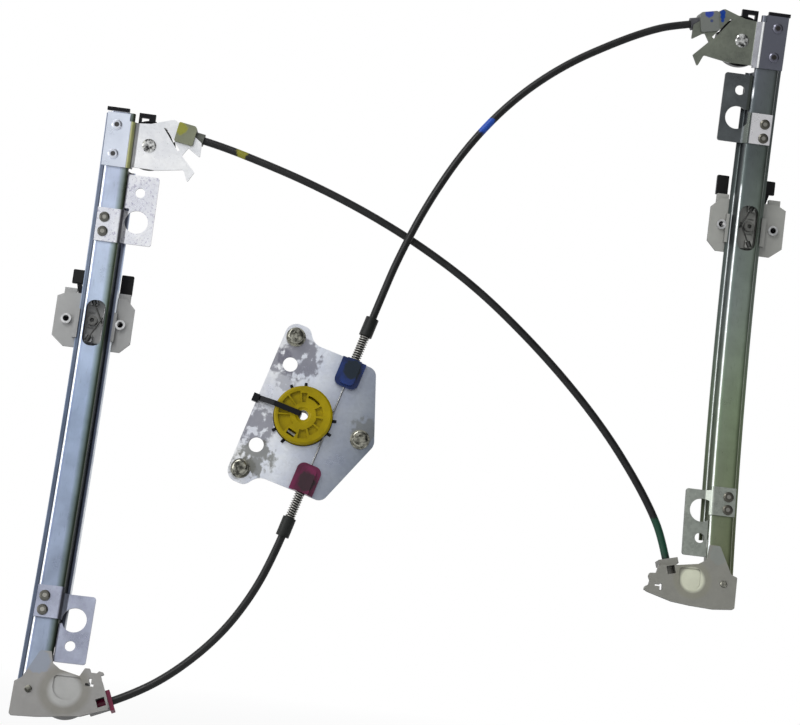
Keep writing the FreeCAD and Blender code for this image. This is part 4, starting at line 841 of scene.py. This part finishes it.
# Colours of the rails' web by height: the zinc's own tint, with painted light and shade up the rail
RAIL_TINT_AND_LIGHT_LEFT = (
    (-0.26, (0.36, 0.42, 0.54)), (-0.15, (0.33, 0.39, 0.52)), (-0.007, (0.37, 0.46, 0.63)),
    (0.10, (0.66, 0.77, 0.97)), (0.22, (0.60, 0.66, 0.84)),
)
RAIL_TINT_AND_LIGHT_RIGHT = (
    (-0.11, (0.23, 0.24, 0.14)), (0.055, (0.34, 0.42, 0.29)), (0.142, (0.32, 0.37, 0.34)),
    (0.272, (0.15, 0.175, 0.175)), (0.38, (0.19, 0.20, 0.235)),
)
# Painted highlights along the rails' folds: place across, half width, bottom and top height
RAIL_HIGHLIGHTS_LEFT = ((-8.9, 0.42, -0.27, 0.25), (24.0, 0.5, -0.27, 0.09))
RAIL_HIGHLIGHTS_RIGHT = ((-21.2, 0.4, -0.13, 0.24), (-9.2, 0.5, -0.13, 0.245),
                    (-9.2, 0.55, 0.316, 0.327))
# Left pulley bracket: pale blue on its tab, painted shade on the joggle's two bends, and a yellow
# painted highlight between them
LEFT_BRACKET_BANDS = (
    (-0.1950, -0.1728, (0.74, 0.80, 0.93), 0.8), (-0.1728, -0.1722, (0.20, 0.20, 0.12), 0.9),
    (-0.1722, -0.1692, (0.66, 0.68, 0.25), 0.9), (-0.1692, -0.1684, (0.10, 0.10, 0.04), 0.9),
)
# Right pulley bracket: painted shade on the joggle, a white painted highlight along its bend, and
# grey-violet on the tab
RIGHT_BRACKET_BANDS = (
    (0.3405, 0.3448, (0.15, 0.15, 0.17), 0.9), (0.3448, 0.3464, WHITE, 0.95),
    (0.3464, 0.3700, (0.16, 0.165, 0.205), 0.95),
)
# A blue bar beside the right-hand end box, as a row of marks that leans by BAR_LEAN
BAR_MIDDLE = (0.3116, -0.0255, 0.3745)
BAR_LEAN = 0.118
RIGHT_BRACKET_SPOTS = [
    ((BAR_MIDDLE[0] - BAR_LEAN * (z - BAR_MIDDLE[2]), BAR_MIDDLE[1], z), 0.0027, BLUE, 0.95)
    for z in (0.384, 0.3807, 0.3774, 0.3741, 0.3708, 0.3675)
]
# Right upper mount: painted shade on the joggle, and nearly white on the tab beside it
RIGHT_MOUNT_BANDS = ((0.3415, 0.3455, (0.07, 0.08, 0.07), 0.9),
                     (0.3462, 0.3640, (1.0, 0.98, 1.0), 0.95))
# Left mounts: painted shade on the joggle between tab and plate
LEFT_UPPER_MOUNT_BANDS = ((-0.1712, -0.1690, (0.12, 0.12, 0.14), 0.9),)
LEFT_LOWER_MOUNT_BANDS = ((-0.1712, -0.1690, (0.10, 0.10, 0.12), 0.9),)
END_LEFT_PAINT = (((-0.1315, 0.003, 0.2285), 0.0068, (0.27, 0.27, 0.02), 0.85),)
END_RIGHT_PAINT = (((0.2984, -0.026, 0.3812), 0.0042, (0.01, 0.04, 0.34), 0.9),
                   ((0.3015, -0.026, 0.3752), 0.0014, (0.02, 0.04, 0.16), 0.8))
SOCKET_UPPER_PAINT = ((on_plate(23.0, 50.0, -9.0), 0.0085, (0.004, 0.012, 0.02), 0.95),)
SOCKET_LOWER_PAINT = ((on_plate(23.5, -49.0, -9.0), 0.0085, (0.03, 0.012, 0.018), 0.95),)
# Heights of each rail's rivets beside the middles of the parts that they hold
RIVET_PLACES = {"left": {"upper": (0.3, -11.7), "lower": (15.9, 4.7), "pulley": (13.5, -11.1)},
                "right": {"upper": (-3.8, -15.8), "lower": (12.6, 1.8), "pulley": (13.5, -11.1)}}
RIVET_X = -3.6
RIVET_Y = -3.6


def rivet_spots(name):
    """Marks on a rail's rivets: painted shade in a small dimple at the bracket, and at the mounts a
    dark ring with a pale painted highlight in its middle."""
    spots = []
    for part, heights in RIVET_PLACES[name].items():
        for height in heights:
            middle = on_rail(name, part, RIVET_X, height, RIVET_Y)
            if part == "pulley":
                spots.append((middle, 0.0023, (0.05, 0.045, 0.04), 0.95))
            else:
                spots += [(middle, 0.0060, (0.11, 0.105, 0.085), 0.95),
                          (middle, 0.0019, (0.42, 0.41, 0.37), 0.8)]
    return spots


def carrier(name, colour):
    """Finish of a carrier, darker with painted shade in the recess where the cable's nipples sit in
    its middle.
    """
    pocket = (on_rail(name, "carrier", -2.4, 0.0, 4.0), 0.0052, (0.05, 0.05, 0.045), 0.8)
    return plastic("carrier_" + name, colour, 0.45, glow=0.12, edge_shade=0.75, paint_and_shade=(pocket,))


# The brackets' and mounts' zinc and the rivets' steel are set lighter or darker part by part as
# painted light and shade;
# zinc_grey, zinc_dark, zinc_mount_low and rivet_right are the shaded copies.
FINISH = {
    "rail_left": rail_zinc("rail_left", RAIL_TINT_AND_LIGHT_LEFT, RAIL_SHADE_BANDS_LEFT, RAIL_HIGHLIGHTS_LEFT),
    "rail_right": rail_zinc("rail_right", RAIL_TINT_AND_LIGHT_RIGHT, RAIL_SHADE_BANDS_RIGHT, RAIL_HIGHLIGHTS_RIGHT),
    "zinc_dull": zinc("zinc_dull", (0.52, 0.56, 0.50), (0.40, 0.43, 0.38)),
    # zinc_dark: painted shade, a darker copy of the mounts' zinc
    "zinc_dark": zinc("zinc_dark", (0.15, 0.165, 0.17), (0.10, 0.11, 0.115), 0.2,
                      bands=RIGHT_MOUNT_BANDS),
    "zinc_plate": zinc("zinc_plate", WHITE, (0.88, 0.90, 0.99), 0.2, smudges=PLATE_SMUDGES,
                       fade=PLATE_LIGHT_FADE),
    "zinc_bracket": zinc("zinc_bracket", WHITE, (0.94, 0.95, 0.99), 0.15,
                         bands=LEFT_BRACKET_BANDS),
    # zinc_grey: painted shade, a darker copy of the left pulley bracket's zinc
    "zinc_grey": zinc("zinc_grey", (0.27, 0.29, 0.235), (0.20, 0.215, 0.18), 0.3,
                      bands=RIGHT_BRACKET_BANDS, spots=RIGHT_BRACKET_SPOTS),
    "zinc_mount": zinc("zinc_mount", WHITE, (0.90, 0.91, 1.0), 0.2, specks=0.5,
                       bands=LEFT_UPPER_MOUNT_BANDS),
    # zinc_mount_low: painted shade, a darker copy of the upper mount's zinc
    "zinc_mount_low": zinc("zinc_mount_low", (0.46, 0.49, 0.60), (0.36, 0.38, 0.48), 0.2,
                           specks=0.2, bands=LEFT_LOWER_MOUNT_BANDS),
    "steel": steel("steel", (0.46, 0.45, 0.38), 0.22, shade=0.16, scale=210.0),
    "crimp": steel("crimp", (0.80, 0.80, 0.78), 0.3, shade=0.06, scale=330.0),
    "rivet_left": steel("rivet_left", (0.80, 0.83, 0.92), shade=0.9, spots=rivet_spots("left")),
    # rivet_right: painted shade, a darker copy of the left rivets' steel
    "rivet_right": steel("rivet_right", (0.17, 0.17, 0.21), shade=0.9,
                         spots=rivet_spots("right")),
    "bush": steel("bush", (0.86, 0.86, 0.86), 0.2),
    "spring": steel("spring", (0.42, 0.41, 0.38), 0.3),
    "nipple": steel("nipple", (0.10, 0.10, 0.095), 0.4),
    "cable": stranded("cable"),
    "carrier_left": carrier("left", (0.35, 0.35, 0.345)),
    "carrier_right": carrier("right", (0.36, 0.36, 0.335)),
    "guide_left": guide_plastic(
        "guide_left", (0.29, 0.282, 0.27), (0.41, 0.408, 0.395), (0.24, 0.23, 0.205),
        on_rail("left", "guide", 24.1, 2.2, -2.6), 0.0175,
        ((on_rail("left", "guide", 1.0, 22.0, -2.6), 0.010, (0.24, 0.28, 0.36), 0.7),)),
    "guide_right": guide_plastic(
        "guide_right", (0.27, 0.266, 0.235), (0.70, 0.71, 0.56), (0.27, 0.265, 0.215),
        on_rail("right", "guide", 22.3, 0.5, -2.6), 0.0138,
        ((on_rail("right", "guide", 1.0, 24.0, -2.6), 0.009, (0.24, 0.26, 0.24), 0.7),)),
    "black": plastic("black", (0.004, 0.004, 0.006), 0.38, gloss=0.2),
    "rubber": rubber("rubber", (0.005, 0.005, 0.005)),
    "sleeve_left": rubber("sleeve_left", (0.09, 0.095, 0.08), 0.5),
    "sleeve_right": rubber("sleeve_right", (0.05, 0.05, 0.055), 0.5),
    "cap": rubber("cap", (0.009, 0.010, 0.009), 0.45),
    "yellow": plastic("yellow", (0.31, 0.232, 0.001), 0.36, 0.16, gloss=0.15),
    "end_left": plastic("end_left", (0.20, 0.21, 0.14), 0.45, glow=0.1, edge_shade=0.6,
                        paint_and_shade=END_LEFT_PAINT),
    "end_right": plastic("end_right", (0.17, 0.18, 0.165), 0.45, glow=0.1, edge_shade=0.6,
                         paint_and_shade=END_RIGHT_PAINT),
    "socket_upper": plastic("socket_upper", (0.006, 0.022, 0.11), 0.25, 0.6, coat=0.15,
                            paint_and_shade=SOCKET_UPPER_PAINT),
    "socket_lower": plastic("socket_lower", (0.13, 0.008, 0.05), 0.3, 0.5, coat=0.2,
                            paint_and_shade=SOCKET_LOWER_PAINT),
    "maroon": plastic("maroon", (0.16, 0.008, 0.04), 0.4, 0.3),
}
# Shown CAD nodes by finish
COVER = {
    "zinc_dull": ["right_lower_mount"],
    "zinc_dark": ["right_upper_mount"],
    "zinc_plate": ["motor_plate"],
    "zinc_bracket": ["left_pulley_bracket"],
    "zinc_grey": ["right_pulley_bracket"],
    "zinc_mount": ["left_upper_mount"],
    "zinc_mount_low": ["left_lower_mount"],
    "steel": ["left_guide_pin", "right_guide_pin", "motor_screws", "screw_washers",
              "drum_nipple"],
    "crimp": ["left_pulley_axle", "right_pulley_axle"],
    "rivet_left": ["left_rivets"],
    "rivet_right": ["right_rivets"],
    "nipple": ["left_nipples", "right_nipples"],
    "bush": ["left_bushes", "right_bushes"],
    "cable": ["left_rail_cable", "right_rail_cable", "upper_drum_cable", "lower_drum_cable",
              "drum_cable_turns"],
    "carrier_left": ["left_carrier"],
    "carrier_right": ["right_carrier"],
    "guide_left": ["left_bottom_guide"],
    "guide_right": ["right_bottom_guide", "right_guide_ferrule"],
    "black": ["left_pulley_guard", "right_pulley_guard", "left_glass_clamp", "right_glass_clamp",
              "drum_retainer", "cable_tie", "left_rail_pad", "right_rail_pad", "left_pulley",
              "right_pulley"],
    "rubber": ["left_clamp_pads", "right_clamp_pads"],
    "sleeve_left": ["left_conduit_sleeve"],
    "sleeve_right": ["right_conduit_sleeve"],
    "cap": ["upper_spring_cap", "lower_spring_cap"],
    "yellow": ["cable_drum"],
    "end_left": ["left_conduit_end"],
    "end_right": ["right_conduit_end"],
    "socket_upper": ["upper_cable_socket"],
    "socket_lower": ["lower_cable_socket"],
    "maroon": ["left_guide_ferrule"],
}


def cover_nodes():
    """Gives every shown CAD node its finish."""
    for finish, names in COVER.items():
        for name in names:
            for slot in NODES[name].material_slots:
                slot.material = FINISH[finish]


# Light and floor

ROOM_STRENGTH = 0.84
ROOM_TINT = (0.97, 0.985, 1.0)
# Brightness of the room from its left side to its right side
ROOM_STOPS = ((0.0, 1.0), (0.35, 0.92), (0.55, 0.66), (0.75, 0.22), (1.0, 0.08))
BEHIND_FROM = 0.25
# Name, place, aim, size and power
LAMPS = (
    ("key", (-0.9, -1.5, 1.4), (0.05, 0, 0.1), 0.9, 16.0),
    ("side", (-1.6, -0.9, 0.2), (0.0, 0, 0.0), 0.8, 7.0),
)
FLOOR_HEIGHT = -0.275
FLOOR_HALF = 3.0
FLOOR_COLOUR = (0.86, 0.87, 0.88, 1)
# Share of white that the camera sees: from and to distance, from and to share
FLOOR_WHITENESS = (0.35, 1.3, 0.88, 1.0)


def make_light():
    """White surroundings behind the part, a soft room in front of it that is brighter on the left,
    and two large lamps on the left."""
    world = bpy.data.worlds.new("surroundings")
    bpy.context.scene.world = world
    w = Wiring(world)
    w.tree.nodes.clear()
    rays = w.node("LightPath").outputs
    direction = w.node("TexCoord").outputs["Generated"]
    stops = [(at, scaled(ROOM_TINT, value)) for at, value in ROOM_STOPS]
    room = w.ramp(w.ranged(w.axis(direction, "X"), -1.0, 1.0), stops)
    soft = w.node("Background")
    soft.inputs["Strength"].default_value = ROOM_STRENGTH
    w.link(room, soft.inputs["Color"])
    white = w.node("Background")
    white.inputs["Color"].default_value = (*WHITE, 1)
    white.inputs["Strength"].default_value = 1.0
    behind = w.math("GREATER_THAN", w.axis(direction, "Y"), BEHIND_FROM)
    mirrored = w.math("MULTIPLY", rays["Is Glossy Ray"], behind)
    seen = w.math("MAXIMUM", rays["Is Camera Ray"], rays["Is Transmission Ray"])
    both = w.mixed(w.math("MAXIMUM", seen, mirrored), soft.outputs[0], white.outputs[0])
    w.link(both, w.node("OutputWorld").inputs[0])
    for name, place, aim, size, power in LAMPS:
        lamp = bpy.data.lights.new(name, "AREA")
        lamp.size = size
        lamp.energy = power
        holder = bpy.data.objects.new(name, lamp)
        turn = (Vector(aim) - Vector(place)).to_track_quat("-Z", "Y")
        holder.matrix_world = Matrix.Translation(place) @ turn.to_matrix().to_4x4()
        bpy.context.scene.collection.objects.link(holder)


def make_floor():
    """Plain pale floor below the part: to the camera white with a faint shadow that fades out
    between two distances, a matt pale sheet to all other rays, and clear from below."""
    corners = [(x * FLOOR_HALF, y * FLOOR_HALF, FLOOR_HEIGHT)
               for x, y in ((-1, -1), (1, -1), (1, 1), (-1, 1))]
    mesh = bpy.data.meshes.new("floor")
    mesh.from_pydata(corners, [], [(0, 1, 2, 3)])
    material = bpy.data.materials.new("floor_white")
    w = Wiring(material)
    w.tree.nodes.clear()
    matt = w.node("BsdfDiffuse")
    matt.inputs["Color"].default_value = FLOOR_COLOUR
    white = w.node("Emission")
    clear = w.node("BsdfTransparent")
    far = w.node("VectorMath")
    far.operation = "LENGTH"
    w.link(w.node("TexCoord").outputs["Object"], far.inputs[0])
    whiter = w.ranged(far.outputs["Value"], *FLOOR_WHITENESS)
    seen = w.math("MULTIPLY", w.node("LightPath").outputs["Is Camera Ray"], whiter)
    top = w.mixed(seen, matt.outputs[0], white.outputs[0])
    whole = w.mixed(w.node("NewGeometry").outputs["Backfacing"], top, clear.outputs[0])
    w.link(whole, w.node("OutputMaterial").inputs[0])
    mesh.materials.append(material)
    floor = bpy.data.objects.new("floor", mesh)
    bpy.context.scene.collection.objects.link(floor)


make_camera()
for name in ROUTES:
    make_conduit(name)
for name in SIDES:
    make_rail(name)
for level, sign in (("upper", 1.0), ("lower", -1.0)):
    make_spring(level, sign)
cover_nodes()
make_floor()
make_light()
bpy.context.scene.view_settings.view_transform = "Standard"
